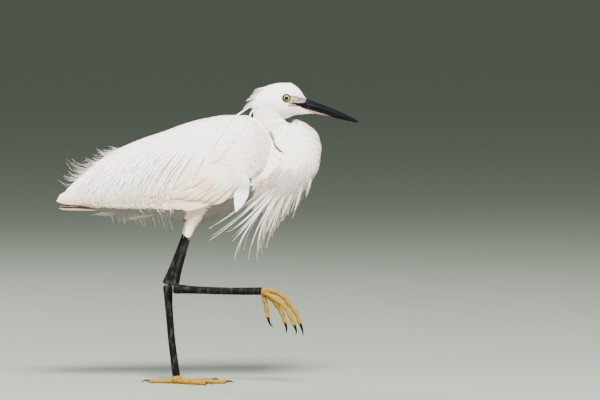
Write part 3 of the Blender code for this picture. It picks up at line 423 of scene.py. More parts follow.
def on_side(x, z, side, lift):
    """Where the skin shows at x, z from the right or left, raised by lift, with its outward direction."""
    hit, normal, _, _ = surface.ray_cast(Vector((x, side * 0.3, z)), Vector((0, -side, 0)))
    if hit is None:
        hit, normal, _, _ = surface.find_nearest(Vector((x, side * 0.02, z)))
        hit = Vector((x, hit.y, z))
        normal = Vector((0, side, 0))
    return np.array(hit) + np.array(normal) * lift, np.array(normal)


# Feather white: matt, with a warmer, darker tone that grows towards the bottom of the bird in soft patches,
# which is painted shade and warm bounce light, palest on the back, and with a faint streak along the
# feathers.
# Every feathered piece wears it, each with its own warmth (the amount of that painted shade), streak and
# tint.
def feather_tone_group():
    """Colour, roughness and height of white plumage at a place on the bird."""
    group = bpy.data.node_groups.new("feather_tone", "ShaderNodeTree")
    face = group.interface
    face.new_socket("Warmth", in_out="INPUT", socket_type="NodeSocketFloat").default_value = 0.5
    face.new_socket("Streak", in_out="INPUT", socket_type="NodeSocketFloat").default_value = 0.5
    face.new_socket("Colour", in_out="OUTPUT", socket_type="NodeSocketColor")
    for label in ("Roughness", "Height"):
        face.new_socket(label, in_out="OUTPUT", socket_type="NodeSocketFloat")
    nodes, links = group.nodes, group.links
    outside, inside = nodes.new("NodeGroupInput"), nodes.new("NodeGroupOutput")
    place = nodes.new("ShaderNodeTexCoord")
    apart = nodes.new("ShaderNodeSeparateXYZ")
    links.new(place.outputs["Object"], apart.inputs[0])
    low = nodes.new("ShaderNodeMapRange")
    low.inputs["From Min"].default_value = 0.400
    low.inputs["From Max"].default_value = 0.215
    links.new(apart.outputs["Z"], low.inputs["Value"])
    patches = nodes.new("ShaderNodeTexNoise")
    patches.inputs["Scale"].default_value = 55
    patches.inputs["Detail"].default_value = 3
    links.new(place.outputs["Object"], patches.inputs["Vector"])
    amount = nodes.new("ShaderNodeMath")
    amount.operation = "MULTIPLY"
    links.new(low.outputs["Result"], amount.inputs[0])
    links.new(patches.outputs["Fac"], amount.inputs[1])
    scaled = nodes.new("ShaderNodeMath")
    scaled.operation = "MULTIPLY"
    links.new(amount.outputs[0], scaled.inputs[0])
    links.new(outside.outputs["Warmth"], scaled.inputs[1])
    # The warm colour B is painted shade and bounce light, mixed in more the lower the place and the higher
    # the warmth.
    blend = nodes.new("ShaderNodeMix")
    blend.data_type = "RGBA"
    blend.inputs["A"].default_value = (0.93, 0.925, 0.915, 1)
    blend.inputs["B"].default_value = (0.82, 0.575, 0.41, 1)
    links.new(scaled.outputs[0], blend.inputs["Factor"])
    turn = nodes.new("ShaderNodeMapping")
    turn.inputs["Rotation"].default_value = (0, math.radians(-28), 0)
    turn.inputs["Scale"].default_value = (0.18, 1, 1)
    links.new(place.outputs["Object"], turn.inputs["Vector"])
    streaks = nodes.new("ShaderNodeTexNoise")
    streaks.inputs["Scale"].default_value = 900
    streaks.inputs["Detail"].default_value = 2
    links.new(turn.outputs["Vector"], streaks.inputs["Vector"])
    height = nodes.new("ShaderNodeMath")
    height.operation = "MULTIPLY"
    links.new(streaks.outputs["Fac"], height.inputs[0])
    links.new(outside.outputs["Streak"], height.inputs[1])
    dull = nodes.new("ShaderNodeMapRange")
    dull.inputs["To Min"].default_value = 0.62
    dull.inputs["To Max"].default_value = 0.86
    links.new(streaks.outputs["Fac"], dull.inputs["Value"])
    links.new(blend.outputs["Result"], inside.inputs["Colour"])
    links.new(dull.outputs["Result"], inside.inputs["Roughness"])
    links.new(height.outputs[0], inside.inputs["Height"])
    return group


feather_tone = feather_tone_group()


def plumage(name, warmth, streak, tint=(1, 1, 1)):
    """A feather's material, in feather white times a tint."""
    made, nodes, links, shader = new_material(name)
    tone = nodes.new("ShaderNodeGroup")
    tone.node_tree = feather_tone
    tone.inputs["Warmth"].default_value = warmth
    tone.inputs["Streak"].default_value = streak
    shade = nodes.new("ShaderNodeMix")
    shade.data_type = "RGBA"
    shade.blend_type = "MULTIPLY"
    shade.inputs["Factor"].default_value = 1
    shade.inputs["B"].default_value = (*tint, 1)
    links.new(tone.outputs["Colour"], shade.inputs["A"])
    links.new(shade.outputs["Result"], shader.inputs["Base Color"])
    links.new(tone.outputs["Roughness"], shader.inputs["Roughness"])
    bump = nodes.new("ShaderNodeBump")
    bump.inputs["Strength"].default_value = 0.5
    bump.inputs["Distance"].default_value = 0.0003
    links.new(tone.outputs["Height"], bump.inputs["Height"])
    links.new(bump.outputs["Normal"], shader.inputs["Normal"])
    shader.inputs["Specular IOR Level"].default_value = 0.25
    shader.inputs["Sheen Weight"].default_value = 0.15
    shader.inputs["Sheen Roughness"].default_value = 0.5
    return made


skin.data.materials.clear()
skin.data.materials.append(plumage("down_white", 1.0, 0.8))

for other in bpy.context.view_layer.objects:
    other.select_set(False)
bpy.context.view_layer.objects.active = skin
skin.select_set(True)
skin.data.uv_layers.new(name="OFBake")
bpy.ops.object.mode_set(mode="EDIT")
bpy.ops.mesh.select_all(action="SELECT")
bpy.ops.uv.smart_project(angle_limit=math.radians(66), island_margin=0.003)
bpy.ops.object.mode_set(mode="OBJECT")
skin_uv = np.zeros(len(skin.data.loops) * 2)
skin.data.uv_layers["OFBake"].data.foreach_get("uv", skin_uv)
skin_uv = skin_uv.reshape(-1, 2)
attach(skin, "root")
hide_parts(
    "head", "neck", "breast", "torso", "mantle", "wing_right", "wing_left", "thigh_right", "thigh_left")


def root_uv(point):
    """The place of a feather's root on the skin's unwrap."""
    _, _, face, _ = surface.find_nearest(Vector(point))
    return skin_uv[skin.data.polygons[face].loop_start]


# Small body feathers: short overlapping vanes that lie backwards over the whole skin, finest on the face.
# Each is one closed leaf with a raised shaft. They are strewn over the skin and turned along the lie stored
# on it.
points, normals = arrays(skin)
xs, ys, zs = points.T
lie = np.tile([-1.0, 0.0, -0.32], (len(points), 1))
on_head = (zs > 0.3405) & (xs > 0.094)
lie[on_head] = unit(points[on_head] - np.array([0.176, 0, 0.352]))
on_neck = ~on_head & (zs > 0.292) & (xs > 0.108) & (xs < 0.146) & (np.abs(ys) < 0.019)
lie[on_neck] = (0.30, 0, -1)
on_breast = ~on_head & ~on_neck & (xs > 0.124)
lie[on_breast] = (-0.30, 0, -1)
thigh_back = smooth_curve([
    (0.193, 0.0050), (0.2065, 0.0105), (0.2115, 0.0112), (0.2145, 0.0140), (0.2290, 0.0165),
])
thigh_front = smooth_curve([(0.193, 0.0215), (0.209, 0.0335), (0.222, 0.0425), (0.2290, 0.0455)])
on_thigh = (zs < 0.2290) & (np.abs(ys) > 0.0060) & (normals[:, 2] > -0.80)
on_thigh &= (xs > thigh_back(zs)) & (xs < thigh_front(zs))
on_thigh |= (zs < 0.2065) & (xs < 0.05)
lie[on_thigh] = (-0.25, 0, -1)
lie[(zs < 0.235) & ~on_thigh & (xs > 0.06)] = (-1, 0, -0.5)
wing_edge = smooth_curve([
    (-0.15, 0.2280), (-0.09, 0.2275), (-0.03, 0.2265), (0.03, 0.2275), (0.056, 0.2340), (0.090, 0.2480),
])
under_wrist = [(0.0955, 0.2640), (0.0990, 0.2560), (0.0985, 0.2470), (0.0960, 0.2400)]
# Below the wing's lower edge and in the hollow behind the wrist the small feathers get a dark grey tint that
# paints the shade there.
in_belly_shade = (zs < wing_edge(xs)) & (xs < 0.097) & ~on_thigh
in_belly_shade |= near_path(points, under_wrist) < 0.0048
ends = np.zeros(len(skin.data.edges) * 2, int)
skin.data.edges.foreach_get("vertices", ends)
ends = ends.reshape(-1, 2)
neighbours = np.bincount(ends.ravel(), minlength=len(points))[:, None]
lie = unit(lie)
lie_rounds = 14
for _ in range(lie_rounds):
    total = np.zeros_like(lie)
    np.add.at(total, ends[:, 0], lie[ends[:, 1]])
    np.add.at(total, ends[:, 1], lie[ends[:, 0]])
    lie = 0.4 * lie + 0.6 * total / neighbours
eye_front = np.array([eye_x, 0.0124, eye_z])
mirrored = points * [1, 0, 1] + np.abs(points) * [0, 1, 0]
from_eye = np.linalg.norm(mirrored - eye_front, axis=1)
lore_low = smooth_curve([(0.1422, 0.3597), (0.1491, 0.3590), (0.1565, 0.3560), (0.172, 0.3514)])
lore_high = smooth_curve([
    (0.1445, 0.3702), (0.150, 0.3694), (0.158, 0.3678), (0.165, 0.3660), (0.172, 0.3620),
])
in_lore = (xs > 0.1422) & (zs > lore_low(xs)) & (zs < lore_high(xs))
in_bill = (xs > 0.1640) & (zs > 0.3500 - 0.20 * (xs - 0.1640))
feather_size = np.where(on_head, 0.42, np.where(on_neck | on_thigh, 0.62, np.where(on_breast, 0.80, 1.0)))
for place, smaller in (
    (on_head & (xs > 0.150), 0.26), (from_eye < 0.011, 0.22), (xs < -0.128, 0.6), (xs < -0.1375, 0.3),
    (on_head & (xs > 0.162) & (zs < 0.352), 0.16),
):
    feather_size = np.where(place, smaller, feather_size)
bare_face = on_head & ((from_eye < 0.0064) | in_lore | in_bill)
cover = np.where(bare_face, 0.0, 1.0)
regions = {
    "face": on_head & (xs > 0.128),
    "head": (on_head & (xs <= 0.128)) | on_neck,
    "breast": on_breast | on_thigh,
    "body": ~(on_head | on_neck | on_breast | on_thigh | in_belly_shade),
    "belly": in_belly_shade,
}


def store(made, label, kind, values):
    """Keeps a value for each point on the mesh."""
    attribute = made.data.attributes.new(label, kind, "POINT")
    field = "vector" if kind == "FLOAT_VECTOR" else "value"
    attribute.data.foreach_set(field, np.ascontiguousarray(values, float).ravel())


store(skin, "lie", "FLOAT_VECTOR", lie)
store(skin, "feather_size", "FLOAT", feather_size)
for label, chosen in regions.items():
    store(skin, "cover_" + label, "FLOAT", chosen * cover)

leaf_length, leaf_width = 0.0094, 0.0038
tuft_patch = 0.003
leaf_points = [
    (0.0, 0.0, 0.0), (0.0028, 0.0017, 0.00002), (0.0028, -0.0017, 0.00002), (0.0066, leaf_width / 2, 0.0),
    (0.0066, -leaf_width / 2, 0.0), (leaf_length, 0.0, 0.0), (0.0048, 0.0, 0.00024), (0.0048, 0.0, 0.00006),
]
leaf_faces = [
    (0, 2, 6), (2, 4, 6), (4, 5, 6), (5, 3, 6), (3, 1, 6), (1, 0, 6),
    (2, 0, 7), (4, 2, 7), (5, 4, 7), (3, 5, 7), (1, 3, 7), (0, 1, 7),
]
leaf = turned_outwards(mesh_object("small_feather_shape", leaf_points, leaf_faces))
leaf.data.set_sharp_from_angle(angle=math.radians(60))
leaf_uv = leaf.data.uv_layers.new(name="OFBake")
for loop in leaf.data.loops:
    spot = leaf.data.vertices[loop.vertex_index].co
    along, across = spot.x / leaf_length, spot.y / leaf_width + 0.5
    leaf_uv.data[loop.index].uv = (along * tuft_patch, across * tuft_patch)


def small_feather_tree():
    """Strews a feather over a surface, turned along its lie, and keeps each root's place on the unwrap."""
    tree = bpy.data.node_groups.new("small_feathers", "GeometryNodeTree")
    face = tree.interface
    face.new_socket("Geometry", in_out="INPUT", socket_type="NodeSocketGeometry")
    for label, kind in (
        ("Feather", "NodeSocketObject"), ("Cover", "NodeSocketString"), ("Spacing", "NodeSocketFloat"),
        ("Lift", "NodeSocketFloat"), ("Seed", "NodeSocketInt"), ("Material", "NodeSocketMaterial"),
    ):
        face.new_socket(label, in_out="INPUT", socket_type=kind)
    face.new_socket("Geometry", in_out="OUTPUT", socket_type="NodeSocketGeometry")
    nodes, links = tree.nodes, tree.links
    given, result = nodes.new("NodeGroupInput"), nodes.new("NodeGroupOutput")

    def named(kind, label=None):
        node = nodes.new("GeometryNodeInputNamedAttribute")
        node.data_type = kind
        if label:
            node.inputs["Name"].default_value = label
        return node

    cover_map = named("FLOAT")
    links.new(given.outputs["Cover"], cover_map.inputs["Name"])
    strew = nodes.new("GeometryNodeDistributePointsOnFaces")
    strew.distribute_method = "POISSON"
    strew.inputs["Density Max"].default_value = 900000
    links.new(given.outputs["Geometry"], strew.inputs["Mesh"])
    links.new(given.outputs["Spacing"], strew.inputs["Distance Min"])
    links.new(cover_map.outputs["Attribute"], strew.inputs["Density Factor"])
    links.new(given.outputs["Seed"], strew.inputs["Seed"])
    keep_uv = nodes.new("GeometryNodeStoreNamedAttribute")
    keep_uv.data_type = "FLOAT_VECTOR"
    keep_uv.domain = "POINT"
    keep_uv.inputs["Name"].default_value = "root_place"
    links.new(strew.outputs["Points"], keep_uv.inputs["Geometry"])
    links.new(named("FLOAT_VECTOR", "OFBake").outputs["Attribute"], keep_uv.inputs["Value"])
    drop = nodes.new("GeometryNodeRemoveAttribute")
    drop.inputs["Name"].default_value = "OFBake"
    links.new(keep_uv.outputs["Geometry"], drop.inputs["Geometry"])
    along = nodes.new("FunctionNodeAlignRotationToVector")
    along.axis = "X"
    along.pivot_axis = "Z"
    links.new(strew.outputs["Rotation"], along.inputs["Rotation"])
    links.new(named("FLOAT_VECTOR", "lie").outputs["Attribute"], along.inputs["Vector"])
    sway = nodes.new("FunctionNodeRandomValue")
    sway.data_type = "FLOAT_VECTOR"
    sway.inputs["Min"].default_value = (-0.018, -0.014, -0.09)
    sway.inputs["Max"].default_value = (0.018, 0.0, 0.09)
    links.new(given.outputs["Seed"], sway.inputs["Seed"])
    lifted = nodes.new("ShaderNodeVectorMath")
    lifted.operation = "ADD"
    raised = nodes.new("ShaderNodeCombineXYZ")
    links.new(given.outputs["Lift"], raised.inputs["Y"])
    links.new(sway.outputs["Value"], lifted.inputs[0])
    links.new(raised.outputs[0], lifted.inputs[1])
    as_turn = nodes.new("FunctionNodeEulerToRotation")
    links.new(lifted.outputs["Vector"], as_turn.inputs[0])
    swayed = nodes.new("FunctionNodeRotateRotation")
    swayed.rotation_space = "LOCAL"
    links.new(along.outputs["Rotation"], swayed.inputs["Rotation"])
    links.new(as_turn.outputs[0], swayed.inputs["Rotate By"])
    vary = nodes.new("FunctionNodeRandomValue")
    vary.data_type = "FLOAT"
    vary.inputs[2].default_value = 0.8
    vary.inputs[3].default_value = 1.25
    links.new(given.outputs["Seed"], vary.inputs["Seed"])
    scale = nodes.new("ShaderNodeMath")
    scale.operation = "MULTIPLY"
    links.new(vary.outputs[1], scale.inputs[0])
    links.new(named("FLOAT", "feather_size").outputs["Attribute"], scale.inputs[1])
    shape = nodes.new("GeometryNodeObjectInfo")
    links.new(given.outputs["Feather"], shape.inputs["Object"])
    plant = nodes.new("GeometryNodeInstanceOnPoints")
    links.new(drop.outputs["Geometry"], plant.inputs["Points"])
    links.new(shape.outputs["Geometry"], plant.inputs["Instance"])
    links.new(swayed.outputs["Rotation"], plant.inputs["Rotation"])
    links.new(scale.outputs[0], plant.inputs["Scale"])
    real = nodes.new("GeometryNodeRealizeInstances")
    links.new(plant.outputs["Instances"], real.inputs["Geometry"])
    join = nodes.new("ShaderNodeVectorMath")
    join.operation = "ADD"
    links.new(named("FLOAT_VECTOR", "OFBake").outputs["Attribute"], join.inputs[0])
    links.new(named("FLOAT_VECTOR", "root_place").outputs["Attribute"], join.inputs[1])
    place_uv = nodes.new("GeometryNodeStoreNamedAttribute")
    place_uv.data_type = "FLOAT2"
    place_uv.domain = "CORNER"
    place_uv.inputs["Name"].default_value = "OFBake"
    links.new(real.outputs["Geometry"], place_uv.inputs["Geometry"])
    links.new(join.outputs["Vector"], place_uv.inputs["Value"])
    wear = nodes.new("GeometryNodeSetMaterial")
    links.new(place_uv.outputs["Geometry"], wear.inputs["Geometry"])
    links.new(given.outputs["Material"], wear.inputs["Material"])
    links.new(wear.outputs["Geometry"], result.inputs["Geometry"])
    return tree


feather_tree = small_feather_tree()
small_white = plumage("small_feather_white", 1.25, 0.5)
# Dark grey painted shade for the small feathers under the wing and behind the wrist.
belly_painted_shade = plumage("belly_feather_painted_shade", 0.4, 0.5, (0.225, 0.203, 0.195))


def strewn_feathers(name, cover_label, spacing, lift, seed, white=small_white):
    """The small feathers of one region of the skin."""
    made = mesh_object(name, [], [])
    made.data = skin.data.copy()
    strew = made.modifiers.new("strew", "NODES")
    strew.node_group = feather_tree
    values = {
        "Feather": leaf, "Cover": cover_label, "Spacing": spacing, "Lift": lift, "Seed": seed,
        "Material": white,
    }
    for item in feather_tree.interface.items_tree:
        if item.item_type == "SOCKET" and item.in_out == "INPUT" and item.name in values:
            strew[item.identifier] = values[item.name]
    applied(made)
    for label in ("lie", "feather_size", "root_place", *("cover_" + region for region in regions)):
        if label in made.data.attributes:
            made.data.attributes.remove(made.data.attributes[label])
    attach(made, "root")


strewn_feathers("face_feathers", "cover_face", 0.00085, -0.12, 3)
strewn_feathers("head_feathers", "cover_head", 0.00120, -0.10, 4)
strewn_feathers("breast_feathers", "cover_breast", 0.00165, -0.095, 5)
strewn_feathers("body_feathers", "cover_body", 0.00215, -0.085, 6)
strewn_feathers("belly_feathers", "cover_belly", 0.00215, -0.085, 7, belly_painted_shade)
bpy.data.objects.remove(leaf)


# Feather building, for the wings, tail and plumes below: a bank gathers the points and faces of many vanes
# and filaments, with each root's place on the skin's unwrap, and becomes one object.
def new_bank():
    return {"points": [], "faces": [], "uv": [], "count": 0}


def add_to_bank(bank, points, faces, root):
    points = np.asarray(points, float)
    bank["faces"] += [tuple(bank["count"] + i for i in face) for face in faces]
    flat = points[:, [0, 2]]
    patch = (flat - flat.min(axis=0)) / max(np.ptp(flat), 1e-6) * tuft_patch
    bank["uv"].append(patch + root_uv(root))
    bank["points"].append(points)
    bank["count"] += len(points)


def bank_object(name, bank, material, node_list=()):
    made = turned_outwards(mesh_object(name, np.vstack(bank["points"]), bank["faces"], material))
    made.data.set_sharp_from_angle(angle=math.radians(50))
    corners = np.zeros(len(made.data.loops), int)
    made.data.loops.foreach_get("vertex_index", corners)
    made.data.uv_layers.new(name="OFBake").data.foreach_set("uv", np.vstack(bank["uv"])[corners].ravel())
    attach(made, "root")
    if node_list:
        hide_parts(*node_list)


def add_vane(bank, spine, outward, half_widths, camber, thickness, lean=0.0, shaft=0.0001):
    """One flat feather along a spine, cambered across, with a raised shaft down its middle."""
    spine, outward = np.asarray(spine, float), unit(outward)
    along = unit(np.gradient(spine, axis=0))
    across = unit(np.cross(along, outward))
    outward = unit(np.cross(across, along))
    tilted = across * math.cos(lean) + outward * math.sin(lean)
    raised = outward * math.cos(lean) - across * math.sin(lean)
    stops = np.array([-1.0, -0.55, -0.12, 0.12, 0.55, 1.0])
    bulge = np.array([-1.0, -0.30, 0.0, 0.0, -0.30, -1.0]) * camber + np.array([0, 0, 1, 1, 0, 0]) * shaft
    aside = tilted[:, None] * (stops[None, :, None] * half_widths[:, None, None])
    top = spine[:, None] + aside + raised[:, None] * bulge[None, :, None]
    fade = np.linspace(1, 0.5, len(spine))[:, None, None]
    bottom = top - raised[:, None] * thickness * fade
    wide, long = len(stops), len(spine)
    points = np.vstack([top.reshape(-1, 3), bottom.reshape(-1, 3)])
    under = wide * long
    faces = []
    for i in range(long - 1):
        for k in range(wide - 1):
            a, b = i * wide + k, (i + 1) * wide + k
            faces.append((a, a + 1, b + 1, b))
            faces.append((under + a, under + b, under + b + 1, under + a + 1))
        a, b = i * wide, (i + 1) * wide
        faces.append((a, b, under + b, under + a))
        a, b = a + wide - 1, b + wide - 1
        faces.append((a, under + a, under + b, b))
    faces += [(k, under + k, under + k + 1, k + 1) for k in range(wide - 1)]
    last = wide * (long - 1)
    faces += [(last + k, last + k + 1, under + last + k + 1, under + last + k) for k in range(wide - 1)]
    add_to_bank(bank, points, faces, spine[0])


def add_filament(bank, path, thick, thin):
    """A fine shaft of three sides that tapers to a point."""
    path = np.asarray(path, float)
    along = unit(np.gradient(path, axis=0))
    across = unit(np.cross(along, [0.13, 0.97, 0.21]))
    other = np.cross(along, across)
    turn = np.array([0, 2.094, 4.189])
    radius = np.linspace(thick, thin, len(path))[:, None, None]
    offset = across[:, None] * np.cos(turn)[:, None] + other[:, None] * np.sin(turn)[:, None]
    rings = path[:, None] + radius * offset
    start, end = path[:1] - along[:1] * thick, path[-1:] + along[-1:] * thin * 2
    points = np.vstack([rings.reshape(-1, 3), start, end])
    add_to_bank(bank, points, ring_faces(len(path), 3), path[0])


def add_barbs(bank, bases, ways, droops, lengths, thick, root):
    """Many short curved barbs, each a pointed sliver of three sides."""
    bases, ways, droops = np.asarray(bases, float), unit(ways), np.asarray(droops, float)
    across = unit(np.cross(ways, [0.13, 0.97, 0.21]))
    other = np.cross(ways, across)
    count = len(bases)
    points = np.zeros((count, 7, 3))
    for k, angle in enumerate((0, 2.094, 4.189)):
        offset = across * math.cos(angle) + other * math.sin(angle)
        points[:, k] = bases + offset * thick
        points[:, 3 + k] = bases + ways * lengths[:, None] * 0.5 + droops * 0.25 + offset * thick * 0.75
    points[:, 6] = bases + ways * lengths[:, None] + droops
    faces = []
    for i in range(count):
        o = i * 7
        for k in range(3):
            n = (k + 1) % 3
            faces += [(o + k, o + n, o + 3 + n, o + 3 + k), (o + 3 + k, o + 3 + n, o + 6)]
        faces.append((o, o + 2, o + 1))
    add_to_bank(bank, points.reshape(-1, 3), faces, root)


def spots_on(path, shares):
    """Points at shares of the way along a path, with the number of the path's own point before each."""
    index = shares * (len(path) - 1)
    low = np.minimum(index.astype(int), len(path) - 2)
    part = (index - low)[:, None]
    return path[low] * (1 - part) + path[low + 1] * part, low


def add_plume(bank, path, outward, thick, barb_length, barb_count, spread, start, droop, draw):
    """A long loose plume: a fine shaft with open barbs on both sides, shorter towards the tip."""
    path = np.asarray(path, float)
    add_filament(bank, path, thick, thick * 0.25)
    along = unit(np.gradient(path, axis=0))
    across = unit(np.cross(along, outward))
    place = np.linspace(start, 0.985, barb_count)
    bases, low = spots_on(path, place)
    ways, droops, lengths, starts = [], [], [], []
    for sign in (-1, 1):
        jitter = draw.normal(0, 0.10, (barb_count, 1))
        ways.append(along[low] + sign * across[low] * (spread + jitter))
        sag = np.tile([0, 0, -droop], (barb_count, 1)) * barb_length
        droops.append(sag + draw.normal(0, 0.06, (barb_count, 3)) * barb_length)
        lengths.append(barb_length * (1 - 0.55 * place) * draw.uniform(0.7, 1.15, barb_count))
        starts.append(bases)
    lengths = np.concatenate(lengths)
    add_barbs(bank, np.vstack(starts), np.vstack(ways), np.vstack(droops), lengths, thick * 0.45, path[0])


# The wings: folded against the body, each with a row of primaries at its end, a row of secondaries along
# its lower edge and two rows of coverts over them. The feathers are stiff white vanes, each lying over the
# next below it, and follow the body's curve.
both_sides = ((RIGHT, "right"), (LEFT, "left"))
flight_white = plumage("flight_feather_white", 2.0, 0.35)
edge_of_mantle = smooth_curve([
    (-0.153, 0.2345), (-0.13, 0.2395), (-0.085, 0.2555), (-0.034, 0.2705), (0.0, 0.2735), (0.03, 0.2765),
    (0.053, 0.283), (0.066, 0.2975), (0.0813, 0.3135), (0.0947, 0.3175), (0.131, 0.3165),
])


def wing_tier(bank, side, draw, count, roots, tips, width, lift, bow, stray, blunt):
    """One row of feathers between a line of roots and a line of tips, both given in side view."""
    roots, tips = np.array(roots), np.array(tips)
    profile = smooth_curve([(0, 0.35), (0.18, 0.80), (0.5, 1.0), (blunt, 0.95), (0.93, 0.62), (1.0, 0.12)])
    shares = np.linspace(0, 1, 11)
    for k in range(count):
        share = (k + 0.5) / count
        start = roots[0] * (1 - share) + roots[1] * share
        end = tips[0] * (1 - share) + tips[1] * share + draw.normal(0, stray, 2)
        spine, out = [], []
        for s in shares:
            x, z = start * (1 - s) + end * s + np.array([0, -bow * math.sin(math.pi * s)])
            height = feather_depth + lift * min(1, s * 2.5) - 0.0022 * (1 - s) ** 3 + 0.0006
            spot, normal = on_side(max(x, -0.1430), max(z, 0.2340), side, height)
            spot = spot * [0, 1, 0] + np.array([x, 0, z])
            spine.append(spot)
            out.append(normal * [0.2, 1, 1] + np.array([0, side * 0.5, 0.1]))
        half = width / 2 * profile(shares)
        add_vane(bank, spine, out, half, camber=0.0004, thickness=0.0003, lean=0.10 * side, shaft=0.00012)


wing_tiers = (
    (6, ((-0.060, 0.2345), (-0.070, 0.2480)), ((-0.1532, 0.2338), (-0.1485, 0.2430)),
     0.0112, 0.0002, 0.0, 0.0002, 0.88),
    (12, ((0.060, 0.2410), (-0.060, 0.2570)), ((0.012, 0.2268), (-0.140, 0.2325)),
     0.0130, 0.0004, 0.001, 0.0007, 0.75),
    (12, ((0.0835, 0.2650), (-0.030, 0.2680)), ((0.0550, 0.2330), (-0.066, 0.2445)),
     0.0150, 0.0008, 0.001, 0.0016, 0.75),
    (12, ((0.0940, 0.2865), (0.005, 0.2800)), ((0.0690, 0.2460), (-0.026, 0.2560)),
     0.0150, 0.0013, 0.001, 0.0026, 0.75),
)
for side, word in both_sides:
    draw = np.random.default_rng(20 + side)
    bank = new_bank()
    for tier in wing_tiers:
        wing_tier(bank, side, draw, *tier)
    bank_object("flight_feathers_" + word, bank, flight_white)


# The thumb feather: one broad, stiff, white vane that hangs loose from the wrist of the right wing, its faint
# bluish tint painted cool sky light. Its root lies on the wrist's small feathers, and its tip stands a little
# clear of the belly.
bank = new_bank()
shares = np.linspace(0, 1, 17)
thumb_half = smooth_curve([
    (0, 0.0020), (0.17, 0.0078), (0.5, 0.0092), (0.75, 0.0062), (0.90, 0.0030), (1, 0.0006),
])
thumb_line = smooth_curve([(0, 0.0905), (0.17, 0.0868), (0.53, 0.0833), (0.86, 0.0787), (1, 0.0766)])
thumb_spine, thumb_out = [], []
for s in shares:
    x, z = float(thumb_line(s)), 0.2695 - 0.0475 * s
    spot, _ = on_side(x, max(z, 0.2480), RIGHT, feather_depth + 0.0030)
    thumb_spine.append(np.array([x, spot[1] + 0.0020 * max(0, s - 0.6), z]))
    thumb_out.append((0.15, -1, 0.05))
add_vane(bank, thumb_spine, thumb_out, thumb_half(shares), camber=0.0006, thickness=0.0005, shaft=0.00025)
bank_object("thumb_feather", bank, plumage("thumb_feather_sky_lit", 0.0, 0.3, (0.93, 0.96, 1.0)))


# The neck's fold: where the drawn-in neck meets the shoulder the feathers part in a narrow line on both
# sides. A thin dark brown strip lies in the slit and paints the shadow there.
bank = new_bank()
fold_half = smooth_curve([(0, 0.00010), (0.3, 0.00048), (0.62, 0.00125), (0.85, 0.00080), (1, 0.00010)])
for side in (RIGHT, LEFT):
    spine, out = [], []
    for x, z in through(slit_path, 5):
        spot, normal = on_side(x, z, side, feather_depth + 0.0009)
        spine.append(spot)
        out.append(normal)
    add_vane(bank, spine, out, fold_half(np.linspace(0, 1, len(spine))), 0.0, 0.0020, shaft=0.0)
# The strip's dark brown is painted shadow.
bank_object("neck_fold", bank, plumage("slit_painted_shadow", 0.0, 0.2, (0.085, 0.060, 0.042)))


# Back plumes: long fine aigrettes that leave the mantle, sweep down over the closed wing and hook forward
# at their tips. Each is a narrow white strand with loose barbs along its lower half. Those at the rear curl
# up clear of the back instead, among short fine filaments.
plume_white = plumage("plume_white", 0.30, 0.2)


def fallen_path(x, z, way, turn, length, side, lift, steps=18, bend=1.6):
    """A path over the bird's side, from x, z in the direction way (degrees), turning as it goes."""
    path, out = [], []
    for k in range(steps + 1):
        s = k / steps
        spot, normal = on_side(x, max(z, 0.2270), side, lift * min(1.0, 0.3 + 2.0 * s))
        spot = spot * [0, 1, 0] + np.array([x, 0, z])
        if path and abs(spot[1] - path[-1][1]) > 0.005:
            spot = path[-1] * [0, 1, 0] + np.array([x, 0, z])
            normal = out[-1]
        path.append(spot)
        out.append(normal)
        heading = math.radians(way + turn * s**bend)
        x += length / steps * math.cos(heading)
        z += length / steps * math.sin(heading)
    return np.array(path), np.array(out)


def add_strand(bank, path, out, width, barb_length, barb_count, start, hook, draw):
    """One aigrette: a narrow flat strand that tapers to a hair, with loose barbs that trail off it."""
    shares = np.linspace(0, 1, len(path))
    taper = smooth_curve([(0, 0.35), (0.12, 0.9), (0.45, 1.0), (0.8, 0.55), (1, 0.12)])
    add_vane(bank, path, out, width / 2 * taper(shares), 0.00012, 0.00022, draw.uniform(-0.45, 0.45), 0.00008)
    along = unit(np.gradient(path, axis=0))
    across = unit(np.cross(along, out))
    bases, low = spots_on(path, np.sort(draw.uniform(start, 0.97, barb_count)))
    sign = np.where(draw.uniform(0, 1, barb_count) < 0.5, -1.0, 1.0)[:, None]
    sideways = sign * across[low] * draw.uniform(0.10, 0.30, (barb_count, 1))
    ways = along[low] + sideways + out[low] * draw.uniform(0, 0.1, (barb_count, 1))
    lengths = barb_length * draw.uniform(0.6, 1.1, barb_count)
    stray = draw.normal(0, 0.04, (barb_count, 3))
    droops = np.array([hook, 0, -0.05]) * lengths[:, None] + stray * lengths[:, None]
    add_barbs(bank, bases, ways, droops, lengths, 0.00011, path[0])


